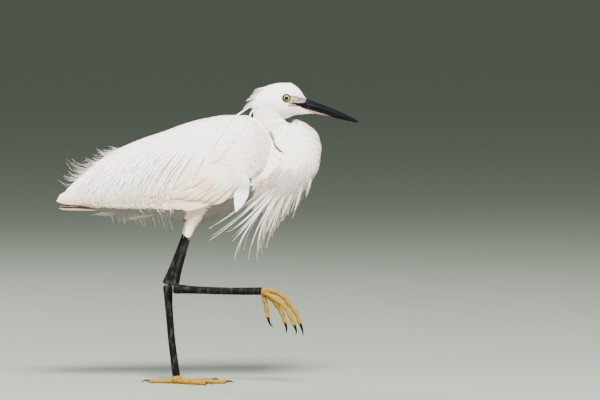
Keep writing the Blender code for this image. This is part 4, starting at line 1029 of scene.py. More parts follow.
plume_floor = smooth_curve([
    (-0.15, 0.2335), (-0.09, 0.2315), (-0.055, 0.2262), (-0.03, 0.2232), (0.03, 0.2225),
])
strand_count = 104
long_strands = (
    (0.0270, 0.3020, 232, 58, 0.094), (0.0160, 0.3010, 228, 62, 0.090), (0.0060, 0.3035, 227, 66, 0.096),
    (0.0100, 0.2890, 230, 74, 0.080), (-0.0060, 0.2970, 226, 74, 0.092), (0.0380, 0.2950, 238, 8, 0.030),
    (0.0000, 0.2820, 230, 82, 0.074), (-0.0150, 0.3000, 226, 80, 0.094), (-0.0200, 0.2860, 228, 84, 0.078),
)
for side, word in both_sides:
    draw = np.random.default_rng(40 + side)
    bank = new_bank()
    for k in range(strand_count):
        share = (k + 0.5) / strand_count
        x = 0.004 - 0.118 * share + draw.normal(0, 0.003)
        top = float(back_line(x)) - 0.004
        z = min(top, float(edge_of_mantle(x)) + draw.uniform(0.004, 0.050) * (1 - 0.5 * share))
        low = 0.2235 + 0.012 * max(0, share - 0.55) + draw.uniform(0, 0.014)
        length = max(0.014, z - low) * draw.uniform(1.22, 1.38)
        way = draw.normal(226 - 10 * share, 3)
        turn = draw.normal(86 - 30 * share, 7)
        lift = feather_depth + draw.uniform(0.0012, 0.0046)
        path, out = fallen_path(x, z, way, turn, length, side, lift)
        kept = max(6, int((path[:, 2] > plume_floor(path[:, 0])).sum()))
        width = draw.uniform(0.0009, 0.0019)
        add_strand(bank, path[:kept], out[:kept], width, 0.0068, 22, 0.35, 0.22, draw)
    for x, z, way, turn, length in long_strands:
        lift = feather_depth + draw.uniform(0.0048, 0.0068)
        path, out = fallen_path(x, z, way, turn, length, side, lift, 24, 2.2)
        kept = max(6, int((path[:, 2] > plume_floor(path[:, 0]) - 0.002).sum()))
        add_strand(bank, path[:kept], out[:kept], 0.0017, 0.010, 34, 0.45, 0.30, draw)
    bank_object("back_plumes_" + word, bank, plume_white)

bank = new_bank()
draw = np.random.default_rng(55)
wisps = (
    ((-0.0659, 0.3030), (-0.0800, 0.2985), (-0.0934, 0.2963), (-0.1019, 0.3016)),
    ((-0.0749, 0.3000), (-0.0851, 0.2954), (-0.0922, 0.2936), (-0.0966, 0.2980)),
    ((-0.0826, 0.2944), (-0.0966, 0.2867), (-0.1075, 0.2854), (-0.1162, 0.2902)),
    ((-0.0877, 0.2906), (-0.0979, 0.2848), (-0.1043, 0.2836), (-0.1094, 0.2867)),
    ((-0.0928, 0.2880), (-0.1069, 0.2820), (-0.1242, 0.2819), (-0.1339, 0.2879)),
    ((-0.0979, 0.2829), (-0.1107, 0.2765), (-0.1267, 0.2760), (-0.1404, 0.2879)),
    ((-0.1018, 0.2803), (-0.1158, 0.2714), (-0.1325, 0.2729), (-0.1414, 0.2842)),
    ((-0.1043, 0.2778), (-0.1158, 0.2720), (-0.1248, 0.2758), (-0.1325, 0.2821)),
    ((-0.1184, 0.2701), (-0.1261, 0.2659), (-0.1331, 0.2673), (-0.1377, 0.2726)),
    ((-0.1133, 0.2720), (-0.1248, 0.2662), (-0.1363, 0.2647), (-0.1455, 0.2660)),
    ((-0.1184, 0.2675), (-0.1286, 0.2616), (-0.1376, 0.2609), (-0.1441, 0.2637)),
    ((-0.1261, 0.2598), (-0.1357, 0.2555), (-0.1440, 0.2565), (-0.1514, 0.2611)),
)
for route in wisps:
    for copy in range(3):
        shift = draw.normal(0, 0.0016, 2) * min(copy, 1)
        reach = 1.0 if copy == 0 else draw.uniform(0.55, 0.95)
        y = draw.uniform(-0.007, 0.007)
        spots = [np.array([x + shift[0], y, z + shift[1]]) for x, z in route]
        lean = draw.normal(0, 0.003)
        path = through(spots, 5)
        kept = max(6, int(len(path) * reach))
        path = path[:kept] + np.linspace(0, 1, kept)[:, None] * [0, lean, 0]
        add_filament(bank, path, 0.00018 if copy == 0 else 0.00011, 0.00007)
        if copy == 0:
            add_plume(bank, path[2:], (0, 1, 0.3), 0.00006, 0.0036, 7, 0.75, 0.05, -0.10, draw)
hair_count = 96
for k in range(hair_count):
    x = draw.uniform(-0.128, -0.070)
    base = np.array([x, draw.uniform(-0.006, 0.006), float(back_line(x)) - 0.001])
    heading = math.radians(draw.uniform(166, 210))
    way = np.array([math.cos(heading), draw.normal(0, 0.1), math.sin(heading)])
    reach = draw.uniform(0.008, 0.016)
    curl = draw.uniform(0.05, 0.40)
    path = []
    for s in np.linspace(0, 1, 7):
        path.append(base + way * reach * s + np.array([-0.15, 0, 1.0]) * curl * reach * s * s)
    add_filament(bank, path, 0.00012, 0.00006)
bank_object("upswept_plumes", bank, plume_white)


# Breast plumes: lance-shaped plumes that hang in a loose skirt from the lower front neck. Each is a shaft
# edged with fine close barbs, and the longest end in a bare drooping hair. Shorter ones fill the skirt above
# and between them, in a greyer tint that paints the shade inside the skirt.
def skirt_path(root, bend, tip, side, squeeze, lift, steps=20):
    """A plume's path from points given in side view, out from the breast and a little inward at the tip."""
    start, _ = on_side(root[0], root[1], side, -0.0020)
    points = [start]
    for (x, z), share in ((bend, 0.55), (tip, 1.0)):
        points.append(np.array([x, start[1] * (1 - squeeze * share) + side * lift * (1 - share), z]))
    s = np.linspace(0, 1, steps)[:, None]
    handle = points[1] + (points[1] - (points[0] + points[2]) / 2) * 0.9
    path = points[0] * (1 - s) ** 2 + handle * 2 * s * (1 - s) + points[2] * s**2
    for spot, share in zip(path, s[:, 0]):
        if spot[2] > 0.238 and share < 0.6:
            over, _ = on_side(spot[0], spot[2], side, 0.0002 + 0.0130 * min(share, 0.15))
            spot[1] = side * max(side * spot[1], side * over[1])
    return path


bank, inner_bank = new_bank(), new_bank()
draw = np.random.default_rng(71)
long_plumes = (
    ((0.1734, 0.2714), (0.1702, 0.2534), (0.1651, 0.2376)),
    ((0.1658, 0.2714), (0.1562, 0.2370), (0.1481, 0.2129)),
    ((0.1594, 0.2688), (0.1414, 0.2300), (0.1293, 0.2003)),
    ((0.1542, 0.2675), (0.1270, 0.2150), (0.1153, 0.1747)),
    ((0.1478, 0.2637), (0.1248, 0.2160), (0.1108, 0.1882)),
    ((0.1453, 0.2611), (0.1110, 0.2060), (0.1037, 0.1574)),
    ((0.1427, 0.2611), (0.1060, 0.2050), (0.0924, 0.1603)),
    ((0.1402, 0.2611), (0.0905, 0.1990), (0.0749, 0.1581)),
    ((0.1376, 0.2611), (0.0880, 0.2020), (0.0704, 0.1828)),
    ((0.1350, 0.2611), (0.0890, 0.2120), (0.0641, 0.1958)),
    ((0.1338, 0.2637), (0.0830, 0.2160), (0.0430, 0.1850)),
    ((0.1312, 0.2650), (0.0820, 0.2270), (0.0420, 0.1997)),
    ((0.1299, 0.2650), (0.0900, 0.2320), (0.0600, 0.2106)),
    ((0.1338, 0.2611), (0.1100, 0.2330), (0.0924, 0.2177)),
)
barbed_points = 15
inner_count, short_count = 144, 84
fall = smooth_curve([(0, 0.4), (0.2, 1.0), (0.55, 0.75), (0.75, 0.30), (1, 0.16)])
for side in (RIGHT, LEFT):
    out = unit(np.array([0.2, side, 0.0]))
    for route in long_plumes:
        for copy in range(2):
            shift = draw.normal(0, 0.0016, 2) * copy if side == RIGHT else draw.normal(0, 0.0035, 2)
            reach = 1.0 if copy == 0 and side == RIGHT else draw.uniform(0.80, 0.97)
            root, bend, tip = (np.array(spot) for spot in route)
            tip = root + (tip - root) * reach + shift
            bend = root + (bend - root) * reach + shift * 0.6
            root = root + draw.normal(0, 0.0022, 2) * copy
            path = skirt_path(root, bend, tip, side, 0.35 + 0.25 * copy, 0.0045)
            width = draw.uniform(0.0017, 0.0024) * (1 - 0.25 * copy)
            half = width * 0.32 * fall(np.linspace(0, 1, len(path)))
            lean = draw.uniform(-0.3, 0.3)
            add_vane(bank, path, np.tile(out, (len(path), 1)), half, 0.0001, 0.0003, lean)
            add_plume(bank, path[:barbed_points], out, 0.00022, width * 2.1, 44, 0.42, 0.05, 0.0, draw)
    for k in range(inner_count):
        share = draw.uniform(0, 1) * (len(long_plumes) - 1.001) * (1 if k < short_count else 0.42)
        low, part = int(share), share % 1
        pairs = zip(long_plumes[low], long_plumes[low + 1])
        root, bend, tip = (np.array(a) * (1 - part) + np.array(b) * part for a, b in pairs)
        rise = draw.uniform(-0.002, 0.020)
        root = root + np.array([0.0035, 0]) * draw.normal(0, 1) + np.array([0.0, rise])
        reach = draw.uniform(0.30, 0.62) if k < short_count else draw.uniform(0.50, 0.92)
        tip = root + (tip - root) * reach
        bend = root + (bend - root) * reach + [-0.001, 0.002]
        squeeze = draw.uniform(0.1, 0.7) * reach
        lift = draw.uniform(0.001, 0.005)
        path = skirt_path(root, bend, tip, side, squeeze, lift, 14)
        add_plume(inner_bank, path, out, 0.00030, 0.0060, 30, 0.26, 0.05, 0.0, draw)
bank_object("breast_plumes", bank, plumage("breast_plume_white", 0.45, 0.2))
# The inner plumes' greyer tint is painted shade.
bank_object("inner_breast_plumes", inner_bank, plumage("inner_plume_painted_shade", 0.7, 0.2, (0.76, 0.735, 0.71)))


# Nape plumes: two very long, narrow, smooth-edged plumes of the breeding season, with a short shaggy crest
# above them. One plume trails back over the mantle and one falls over the shoulder.
bank = new_bank()
draw = np.random.default_rng(83)
nape_taper = smooth_curve([(0, 0.6), (0.15, 1.0), (0.6, 0.8), (1, 0.15)])
mantle_route = (
    (0.0890, 0.3520), (0.0787, 0.3450), (0.0690, 0.3355), (0.0600, 0.3220), (0.0505, 0.3070),
    (0.0454, 0.2970),
)
shoulder_route = ((0.0955, 0.3470), (0.0935, 0.3400), (0.0952, 0.3277), (0.1000, 0.3090), (0.1065, 0.2920))
for root, route in (
    ((0.1010, -0.003, 0.3590), mantle_route), ((0.1000, -0.006, 0.3540), shoulder_route),
):
    path = [np.array(root)]
    for x, z in route:
        spot, _ = on_side(x, z, RIGHT, feather_depth + 0.0022)
        if z > float(back_line(x)) - 0.003:
            spot = np.array([x, root[1] - 0.002, z])
        path.append(spot)
    path = through(path, 5)
    half = 0.00085 * nape_taper(np.linspace(0, 1, len(path)))
    add_vane(bank, path, np.tile([-0.4, -1, 0.25], (len(path), 1)), half, 0.0001, 0.0004)
crest_count = 34
for k in range(crest_count):
    share = draw.uniform(0, 1)
    across = draw.uniform(-0.010, 0.010)
    x = 0.118 - 0.018 * share
    hit, normal, _, _ = surface.find_nearest(Vector((x - 0.004, across, 0.384 - 0.026 * share)))
    base, out = np.array(hit), np.array(normal)
    way = unit([-1.0, across * 20, -0.35 - 0.55 * share])
    length = draw.uniform(0.008, 0.0145)
    path = [base + way * length * s + out * (0.0005 + 0.0014 * s) for s in np.linspace(0, 1, 7)]
    add_plume(bank, path, out, 0.00022, 0.0042, 12, 0.22, 0.1, 0.1, draw)
bank_object("nape_plumes", bank, plumage("nape_plume_white", 0.0, 0.2))


# The tail: twelve white feathers folded in a narrow fan under the wing tips, with a dark brown strip between
# the two that paints the shadow in the gap. Loose coverts lie below it, and a fringe of filaments hangs from
# the flank behind the thighs, both in a grey tint that paints the shade under the body.
tail_profile = smooth_curve([(0, 0.5), (0.3, 0.85), (0.7, 1.0), (0.92, 0.7), (1.0, 0.15)])
tail_shares = np.linspace(0, 1, 10)


def add_fan_feather(bank, spine, across, thickness):
    """One narrow flat feather of the folded fan, leaning out on its own side of the tail."""
    upward = np.tile([0, 0, 1.0], (len(spine), 1))
    half = 0.0042 * tail_profile(tail_shares)
    add_vane(bank, spine, upward, half, 0.0003, thickness, math.copysign(0.25, across))


bank = new_bank()
for k in range(12):
    across = (k - 5.5) / 5.5
    spine = []
    for s in tail_shares:
        x = -0.098 - (0.053 - 0.0055 * abs(across)) * s
        spine.append((x, across * (0.0095 + 0.0080 * s), 0.2240 + 0.0012 * s - 0.0008 * abs(across)))
    add_fan_feather(bank, spine, across, 0.0003)
bank_object("tail_feathers", bank, flight_white, ("tail",))

# A dark brown strip under the wing tips that paints the shadow between them and the tail.
bank = new_bank()
for k in range(8):
    across = (k - 3.5) / 3.5
    spine = []
    for s in tail_shares:
        spine.append((-0.092 - 0.0565 * s, across * (0.0080 + 0.0070 * s), 0.2268 + 0.0010 * s))
    add_fan_feather(bank, spine, across, 0.0012)
bank_object("tail_down", bank, plumage("tail_gap_painted_shadow", 0.5, 0.2, (0.12, 0.092, 0.078)))

bank = new_bank()
draw = np.random.default_rng(91)
flank_count = 96
for k in range(flank_count):
    x = -0.088 + 0.080 * (k + draw.uniform(0, 1)) / flank_count
    y = draw.uniform(-0.016, 0.016)
    hit, _, _, _ = surface.ray_cast(Vector((x, y, 0.10)), Vector((0, 0, 1)))
    base = np.array(hit) + [0, 0, 0.001]
    length = draw.uniform(0.010, 0.019) * (0.75 + 0.35 * k / flank_count)
    slant = draw.uniform(-0.30, 0.10)
    path = []
    for s in np.linspace(0, 1, 8):
        path.append(base + np.array([-slant * length * s + 0.002 * s * s, 0, -length * s]))
    add_filament(bank, path, 0.00016, 0.00007)
loose_coverts = (
    (-0.0700, 0.2250, -0.1020, 0.2136, 0.013), (-0.0300, 0.2215, -0.0600, 0.2105, 0.016),
    (-0.092, 0.2262, -0.112, 0.2222, 0.009),
)
covert_strands = 26
for root_x, root_z, tip_x, tip_z, breadth in loose_coverts:
    for k in range(covert_strands):
        across = draw.uniform(-1, 1)
        reach = draw.uniform(0.45, 1.0) if k else 1.0
        root = np.array([root_x + draw.normal(0, 0.004), across * breadth, root_z])
        run = np.array([tip_x - root_x, -across * 0.004, tip_z - root_z])
        tip = root + run * reach + [0, 0, draw.uniform(0, 0.003)]
        middle = (root + tip) / 2 + [0, 0, -0.0022]
        s = np.linspace(0, 1, 9)[:, None]
        path = root * (1 - s) ** 2 + middle * 2 * s * (1 - s) + tip * s**2
        out = np.tile([0.0, math.copysign(0.8, across), -0.6], (9, 1))
        add_strand(bank, path, out, 0.0022, 0.006, 10, 0.4, -0.1, draw)
for side in (RIGHT, LEFT):
    route = [
        (-0.131, side * 0.0145, 0.2262), (-0.1335, side * 0.0150, 0.2240), (-0.1340, side * 0.0152, 0.2205),
    ]
    add_filament(bank, through(route, 4), 0.0003, 0.0001)
# The grey tint paints the shade under the body.
bank_object("underside_fringe", bank, plumage("underside_painted_shade", 0.6, 0.2, (0.66, 0.62, 0.58)))


# The bill: two halves of black horn that meet along a fine line, with a ridged culmen and long nostril
# slits in a groove. Bare pink skin lies under the root of the lower half, and both grow out of the head.
bill_top = smooth_curve([
    (0.15, 0.3675), (0.1675, 0.3648), (0.1816, 0.3593), (0.1947, 0.3543), (0.2078, 0.3491), (0.2208, 0.3430),
    (0.2286, 0.3388), (0.2334, 0.3353),
])
bill_mouth = smooth_curve([
    (0.145, 0.3583), (0.1599, 0.3564), (0.1712, 0.3541), (0.1869, 0.3500), (0.2, 0.3454), (0.213, 0.3408),
    (0.2286, 0.3364), (0.2334, 0.3349),
])
bill_bottom = smooth_curve([
    (0.15, 0.3532), (0.162, 0.3502), (0.1764, 0.3465), (0.1947, 0.3425), (0.2078, 0.3394), (0.2208, 0.3366),
    (0.2286, 0.3350), (0.2334, 0.3341),
])
bill_half = smooth_curve([
    (0.15, 0.0092), (0.158, 0.0090), (0.164, 0.0081), (0.1724, 0.0069), (0.1837, 0.0058), (0.2093, 0.0037),
    (0.2208, 0.0026), (0.2334, 0.0005),
])


def horn(name, root_colour, bare_reach, roughness, bare_edge=None):
    """Satin horn, paler at the root along the bill's length, or only below the slanting line of bare_edge."""
    made, nodes, links, shader = new_material(name)
    place, apart = nodes.new("ShaderNodeTexCoord"), nodes.new("ShaderNodeSeparateXYZ")
    links.new(place.outputs["Object"], apart.inputs[0])
    reach = nodes.new("ShaderNodeMapRange")
    reach.inputs["From Min"].default_value = bare_reach
    reach.inputs["From Max"].default_value = bare_reach - 0.018
    grain_turn = nodes.new("ShaderNodeMapping")
    grain_turn.inputs["Rotation"].default_value = (0, math.radians(-22), 0)
    grain_turn.inputs["Scale"].default_value = (0.10, 1, 1)
    links.new(place.outputs["Object"], grain_turn.inputs["Vector"])
    grain = nodes.new("ShaderNodeTexNoise")
    grain.inputs["Scale"].default_value = 900
    grain.inputs["Detail"].default_value = 4
    links.new(grain_turn.outputs["Vector"], grain.inputs["Vector"])
    shifted = nodes.new("ShaderNodeMath")
    shifted.operation = "MULTIPLY_ADD"
    shifted.inputs[1].default_value = 0.012
    links.new(grain.outputs["Fac"], shifted.inputs[0])
    links.new(apart.outputs["X"], shifted.inputs[2])
    links.new(shifted.outputs[0], reach.inputs["Value"])
    blend = nodes.new("ShaderNodeMix")
    blend.data_type = "RGBA"
    blend.inputs["A"].default_value = (0.0022, 0.0025, 0.0038, 1)
    blend.inputs["B"].default_value = (*root_colour, 1)
    links.new(reach.outputs["Result"], blend.inputs["Factor"])
    if bare_edge:
        level = nodes.new("ShaderNodeVectorMath")
        level.operation = "DOT_PRODUCT"
        level.inputs[1].default_value = (0.2857, 0, 1)
        links.new(place.outputs["Object"], level.inputs[0])
        below = nodes.new("ShaderNodeMapRange")
        below.inputs["From Min"].default_value = bare_edge
        below.inputs["From Max"].default_value = bare_edge - 0.0008
        links.new(level.outputs["Value"], below.inputs["Value"])
        both = nodes.new("ShaderNodeMath")
        both.operation = "MULTIPLY"
        links.new(reach.outputs["Result"], both.inputs[0])
        links.new(below.outputs["Result"], both.inputs[1])
        links.new(both.outputs[0], blend.inputs["Factor"])
    links.new(blend.outputs["Result"], shader.inputs["Base Color"])
    gloss = nodes.new("ShaderNodeMapRange")
    gloss.inputs["To Min"].default_value = roughness - 0.08
    gloss.inputs["To Max"].default_value = roughness + 0.12
    links.new(grain.outputs["Fac"], gloss.inputs["Value"])
    links.new(gloss.outputs["Result"], shader.inputs["Roughness"])
    bump = nodes.new("ShaderNodeBump")
    bump.inputs["Strength"].default_value = 0.3
    bump.inputs["Distance"].default_value = 0.0002
    links.new(grain.outputs["Fac"], bump.inputs["Height"])
    links.new(bump.outputs["Normal"], shader.inputs["Normal"])
    shader.inputs["Specular IOR Level"].default_value = 0.06
    return made


def bill_part(name, edge, way, tip, material, node):
    """One half of the bill, round outside and flat along the mouth, with a groove where the nostrils lie."""
    xs = np.concatenate([[0.1565], np.linspace(0.159, tip - 0.001, 46)])
    turn = np.linspace(0, np.pi, 23)
    rings = np.zeros((len(xs), len(turn), 3))
    inner = bill_mouth(xs) + way * 0.00012
    height = edge(xs) - inner
    half = bill_half(xs)
    sharp = 0.86 if way > 0 else 1.0
    tucked = 1 - 0.16 * np.exp(-(np.sin(turn) / 0.11) ** 2)
    side_wide = np.sign(np.cos(turn)) * np.abs(np.cos(turn)) ** sharp * tucked
    rings[..., 0] = xs[:, None]
    rings[..., 1] = half[:, None] * side_wide
    rings[..., 2] = inner[:, None] + height[:, None] * np.sin(turn)
    if way > 0:
        groove_ends = smooth_curve([(0.16, 0), (0.166, 1), (0.20, 0.8), (0.215, 0)])
        groove = np.exp(-((np.sin(turn) - 0.55) / 0.14) ** 2)[None] * groove_ends(xs)[:, None]
        nostril_ends = np.exp(-((xs - 0.1725) / 0.0060) ** 4)
        nostril = np.exp(-((np.sin(turn) - 0.55) / 0.09) ** 2)[None] * nostril_ends[:, None]
        rings[..., 1] -= np.sign(np.cos(turn)) * (0.00040 * groove + 0.0013 * nostril)
    root_end = (0.1555, 0, (inner[0] + edge(0.1565)) / 2)
    tip_end = (tip, 0, (edge(tip) + bill_mouth(tip)) / 2)
    made = ring_object(name, rings, root_end, tip_end, material)
    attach(made, "root")
    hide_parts(node)


upper_horn = horn("upper_horn", (0.0075, 0.0095, 0.0165), 0.186, 0.64)
lower_horn = horn("lower_horn", (0.46, 0.30, 0.285), 0.206, 0.64, 0.40010)
bill_part("upper_bill", bill_top, 1, 0.2334, upper_horn, "bill_upper")
bill_part("lower_bill", bill_bottom, -1, 0.2327, lower_horn, "bill_lower")


# The face: bare skin runs from the eye to the bill, grey lilac and finely wrinkled. The black horn reaches
# back along the mouth to its corner, with a short orange line behind it. Each is a thin patch that lies on
# the head.
def bare_skin(name, colour_a, colour_b, scale):
    """Finely wrinkled bare skin, mottled in two colours."""
    made, nodes, links, shader = new_material(name)
    place, spots = nodes.new("ShaderNodeTexCoord"), nodes.new("ShaderNodeTexNoise")
    spots.inputs["Scale"].default_value = scale
    spots.inputs["Detail"].default_value = 3
    links.new(place.outputs["Object"], spots.inputs["Vector"])
    blend = nodes.new("ShaderNodeMix")
    blend.data_type = "RGBA"
    blend.inputs["A"].default_value = (*colour_a, 1)
    blend.inputs["B"].default_value = (*colour_b, 1)
    steep = nodes.new("ShaderNodeMapRange")
    steep.inputs["From Min"].default_value = 0.38
    steep.inputs["From Max"].default_value = 0.62
    links.new(spots.outputs["Fac"], steep.inputs["Value"])
    links.new(steep.outputs["Result"], blend.inputs["Factor"])
    links.new(blend.outputs["Result"], shader.inputs["Base Color"])
    cells = nodes.new("ShaderNodeTexVoronoi")
    cells.feature = "DISTANCE_TO_EDGE"
    cells.inputs["Scale"].default_value = scale * 3.2
    links.new(place.outputs["Object"], cells.inputs["Vector"])
    bump = nodes.new("ShaderNodeBump")
    bump.inputs["Strength"].default_value = 0.6
    bump.inputs["Distance"].default_value = 0.0004
    links.new(cells.outputs["Distance"], bump.inputs["Height"])
    links.new(bump.outputs["Normal"], shader.inputs["Normal"])
    shader.inputs["Roughness"].default_value = 0.52
    shader.inputs["Specular IOR Level"].default_value = 0.22
    return made


def face_patch(name, outline_low, outline_high, lift, material, columns=30, rows=9):
    """A thin patch laid on both sides of the head between two lines given in side view."""
    points, faces = [], []
    for side in (RIGHT, LEFT):
        first = len(points)
        for layer in (lift, lift - 0.0010):
            for i in range(columns):
                x = outline_low[0][0] + (outline_low[-1][0] - outline_low[0][0]) * i / (columns - 1)
                low = float(smooth_curve(outline_low)(x))
                high = float(smooth_curve(outline_high)(x))
                for k in range(rows):
                    edge = abs(2 * k / (rows - 1) - 1) ** 3
                    height = layer - 0.0004 * edge
                    spot, _ = on_side(x, low + (high - low) * k / (rows - 1), side, height)
                    points.append(spot)
        size = columns * rows
        for i in range(columns - 1):
            for k in range(rows - 1):
                a = first + i * rows + k
                faces.append((a, a + 1, a + rows + 1, a + rows))
                faces.append((a + size, a + size + rows, a + size + rows + 1, a + size + 1))
            for k in (0, rows - 1):
                a = first + i * rows + k
                faces.append((a, a + rows, a + rows + size, a + size))
        for i in (0, columns - 1):
            for k in range(rows - 1):
                a = first + i * rows + k
                faces.append((a, a + size, a + size + 1, a + 1))
    made = turned_outwards(mesh_object(name, points, faces, material))
    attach(made, "root")


face_patch(
    "lores", [(0.1420, 0.3599), (0.1440, 0.3595), (0.1491, 0.3590), (0.156, 0.3590), (0.1645, 0.3588)],
    [
        (0.1420, 0.3618), (0.1440, 0.3660), (0.1462, 0.3700), (0.150, 0.3692), (0.158, 0.3676),
        (0.1645, 0.3658),
    ],
    0.0009, bare_skin("lore_skin", (0.36, 0.285, 0.27), (0.085, 0.072, 0.078), 330))
face_patch(
    "gape", [(0.1425, 0.3577), (0.1465, 0.3571), (0.1525, 0.3567)],
    [(0.1425, 0.3582), (0.1465, 0.3584), (0.1525, 0.3583)],
    0.0018, bare_skin("gape_skin", (0.31, 0.135, 0.012), (0.27, 0.145, 0.045), 260), 18, 5)
face_patch(
    "bill_corner", [(0.1484, 0.3583), (0.1520, 0.3571), (0.1565, 0.3562), (0.1660, 0.3540)],
    [(0.1484, 0.3590), (0.1520, 0.3601), (0.1565, 0.3598), (0.1660, 0.3600)],
    0.0014, horn("corner_horn", (0.006, 0.006, 0.008), 0.155, 0.64), 24, 7)


# The eyes: glossy balls set in the head, a pale yellow iris round a black pupil. A dark rim of lid, fatter
# above and behind, lies round each ball, and a thin browner ring of bare skin round the lid, both on the
# socket.
def iris_look(name):
    """Rings of colour by the distance from the eye's axis: a black pupil, a yellow iris and a dark edge."""
    made, nodes, links, shader = new_material(name)
    place = nodes.new("ShaderNodeTexCoord")
    centred = nodes.new("ShaderNodeMapping")
    centred.inputs["Location"].default_value = (-eye_x, 0, -eye_z)
    links.new(place.outputs["Object"], centred.inputs["Vector"])
    flat = nodes.new("ShaderNodeVectorMath")
    flat.operation = "MULTIPLY"
    flat.inputs[1].default_value = (1, 0, 1)
    links.new(centred.outputs["Vector"], flat.inputs[0])
    distance = nodes.new("ShaderNodeVectorMath")
    distance.operation = "LENGTH"
    links.new(flat.outputs["Vector"], distance.inputs[0])
    scaled = nodes.new("ShaderNodeMath")
    scaled.operation = "MULTIPLY"
    scaled.inputs[1].default_value = 200
    links.new(distance.outputs["Value"], scaled.inputs[0])
    rings = nodes.new("ShaderNodeValToRGB")
    links.new(scaled.outputs[0], rings.inputs["Fac"])
    stops = rings.color_ramp.elements
    stops[0].position, stops[0].color = 0.0, (0.004, 0.004, 0.004, 1)
    stops[1].position, stops[1].color = 1.0, (0.01, 0.01, 0.01, 1)
    for position, colour in (
        (0.48, (0.004, 0.004, 0.004)), (0.51, (0.22, 0.17, 0.025)), (0.57, (0.47, 0.39, 0.075)),
        (0.65, (0.52, 0.44, 0.10)), (0.70, (0.20, 0.16, 0.04)), (0.735, (0.012, 0.009, 0.007)),
    ):
        stops.new(position).color = (*colour, 1)
    links.new(rings.outputs["Color"], shader.inputs["Base Color"])
    shader.inputs["Roughness"].default_value = 0.20
    shader.inputs["Coat Weight"].default_value = 0.07
    shader.inputs["Specular IOR Level"].default_value = 0.18
    shader.inputs["Coat Roughness"].default_value = 0.03
    return made


def eye_rim(name, side, radius, thick, proud, material):
    """A closed ring of skin round the eye that follows the socket, fatter above and behind."""
    rings = []
    b = np.linspace(0, 2 * np.pi, 10, endpoint=False)
    for a in np.linspace(0, 2 * np.pi, 48, endpoint=False):
        fat = thick * (1 + 0.20 * math.sin(a) - 0.15 * math.cos(a))
        under, _ = on_side(eye_x + radius * math.cos(a), eye_z + radius * math.sin(a), side, 0.0)
        level = abs(under[1]) + proud
        reach = radius * (1 - 0.05 * abs(math.sin(a))) + fat * np.cos(b)
        outward = side * (level + fat * np.sin(b))
        rings.append(np.stack([eye_x + reach * math.cos(a), outward, eye_z + reach * math.sin(a)], axis=-1))
    rings = np.array(rings)
    count, sides = rings.shape[:2]
    faces = []
    for i in range(count):
        here, there = i * sides, (i + 1) % count * sides
        for k in range(sides):
            after = (k + 1) % sides
            faces.append((here + k, here + after, there + after, there + k))
    rim = turned_outwards(mesh_object(name, rings.reshape(-1, 3), faces, material))
    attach(rim, "root")


eye_look = iris_look("eye_yellow")
lid_look = bare_skin("lid_skin", (0.010, 0.0075, 0.006), (0.026, 0.019, 0.015), 500)
ring_look = bare_skin("eye_ring_skin", (0.035, 0.026, 0.021), (0.11, 0.085, 0.068), 500)
for side, word in both_sides:
    facing = Vector((0, 0, 1)).rotation_difference(Vector((0, side, 0))).to_matrix()
    ball = bmesh.new()
    bmesh.ops.create_uvsphere(ball, u_segments=40, v_segments=24, radius=0.0048)
    bmesh.ops.rotate(ball, verts=ball.verts, matrix=facing)
    bmesh.ops.translate(ball, verts=ball.verts, vec=(eye_x, side * 0.0128, eye_z))
    eye = mesh_object("eyeball_" + word, [], [], eye_look)
    ball.to_mesh(eye.data)
    ball.free()
    eye.data.shade_smooth()
    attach(eye, "root")
    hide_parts("eye_" + word)
    eye_rim("lid_" + word, side, 0.00445, 0.00110, 0.00095, lid_look)
    eye_rim("eye_ring_" + word, side, 0.00535, 0.00050, 0.00050, ring_look)


# The legs: long black shins and shanks under plates of scaled skin, with paler grey brown streaks, and a
# knob at each ankle. The left leg stands, and the right shank is held level.
def scaled_skin(name, dark, pale, scale, amount, stretch):
    """Scaly leg skin: cells parted by fine seams, streaked with a paler tone."""
    made, nodes, links, shader = new_material(name)
    place, fit = nodes.new("ShaderNodeTexCoord"), nodes.new("ShaderNodeMapping")
    fit.inputs["Scale"].default_value = stretch
    links.new(place.outputs["Object"], fit.inputs["Vector"])
    cells = nodes.new("ShaderNodeTexVoronoi")
    cells.feature = "DISTANCE_TO_EDGE"
    cells.inputs["Scale"].default_value = scale
    links.new(fit.outputs["Vector"], cells.inputs["Vector"])
    wear = nodes.new("ShaderNodeTexNoise")
    wear.inputs["Scale"].default_value = scale * 0.45
    wear.inputs["Detail"].default_value = 4
    links.new(fit.outputs["Vector"], wear.inputs["Vector"])
    steep = nodes.new("ShaderNodeMapRange")
    steep.inputs["From Min"].default_value = 0.48
    steep.inputs["From Max"].default_value = 0.70
    steep.inputs["To Max"].default_value = amount
    links.new(wear.outputs["Fac"], steep.inputs["Value"])
    blend = nodes.new("ShaderNodeMix")
    blend.data_type = "RGBA"
    blend.inputs["A"].default_value = (*dark, 1)
    blend.inputs["B"].default_value = (*pale, 1)
    links.new(steep.outputs["Result"], blend.inputs["Factor"])
    seam = nodes.new("ShaderNodeMapRange")
    seam.inputs["From Max"].default_value = 0.09
    seam.inputs["To Min"].default_value = 0.55
    links.new(cells.outputs["Distance"], seam.inputs["Value"])
    darker = nodes.new("ShaderNodeMix")
    darker.data_type = "RGBA"
    darker.blend_type = "MULTIPLY"
    darker.inputs["Factor"].default_value = 1
    links.new(blend.outputs["Result"], darker.inputs["A"])
    links.new(seam.outputs["Result"], darker.inputs["B"])
    links.new(darker.outputs["Result"], shader.inputs["Base Color"])
    bump = nodes.new("ShaderNodeBump")
    bump.inputs["Strength"].default_value = 0.8
    bump.inputs["Distance"].default_value = 0.0005
    links.new(seam.outputs["Result"], bump.inputs["Height"])
    links.new(bump.outputs["Normal"], shader.inputs["Normal"])
    gloss = nodes.new("ShaderNodeMapRange")
    gloss.inputs["To Min"].default_value = 0.58
    gloss.inputs["To Max"].default_value = 0.78
    links.new(wear.outputs["Fac"], gloss.inputs["Value"])
    links.new(gloss.outputs["Result"], shader.inputs["Roughness"])
    shader.inputs["Specular IOR Level"].default_value = 0.08
    return made


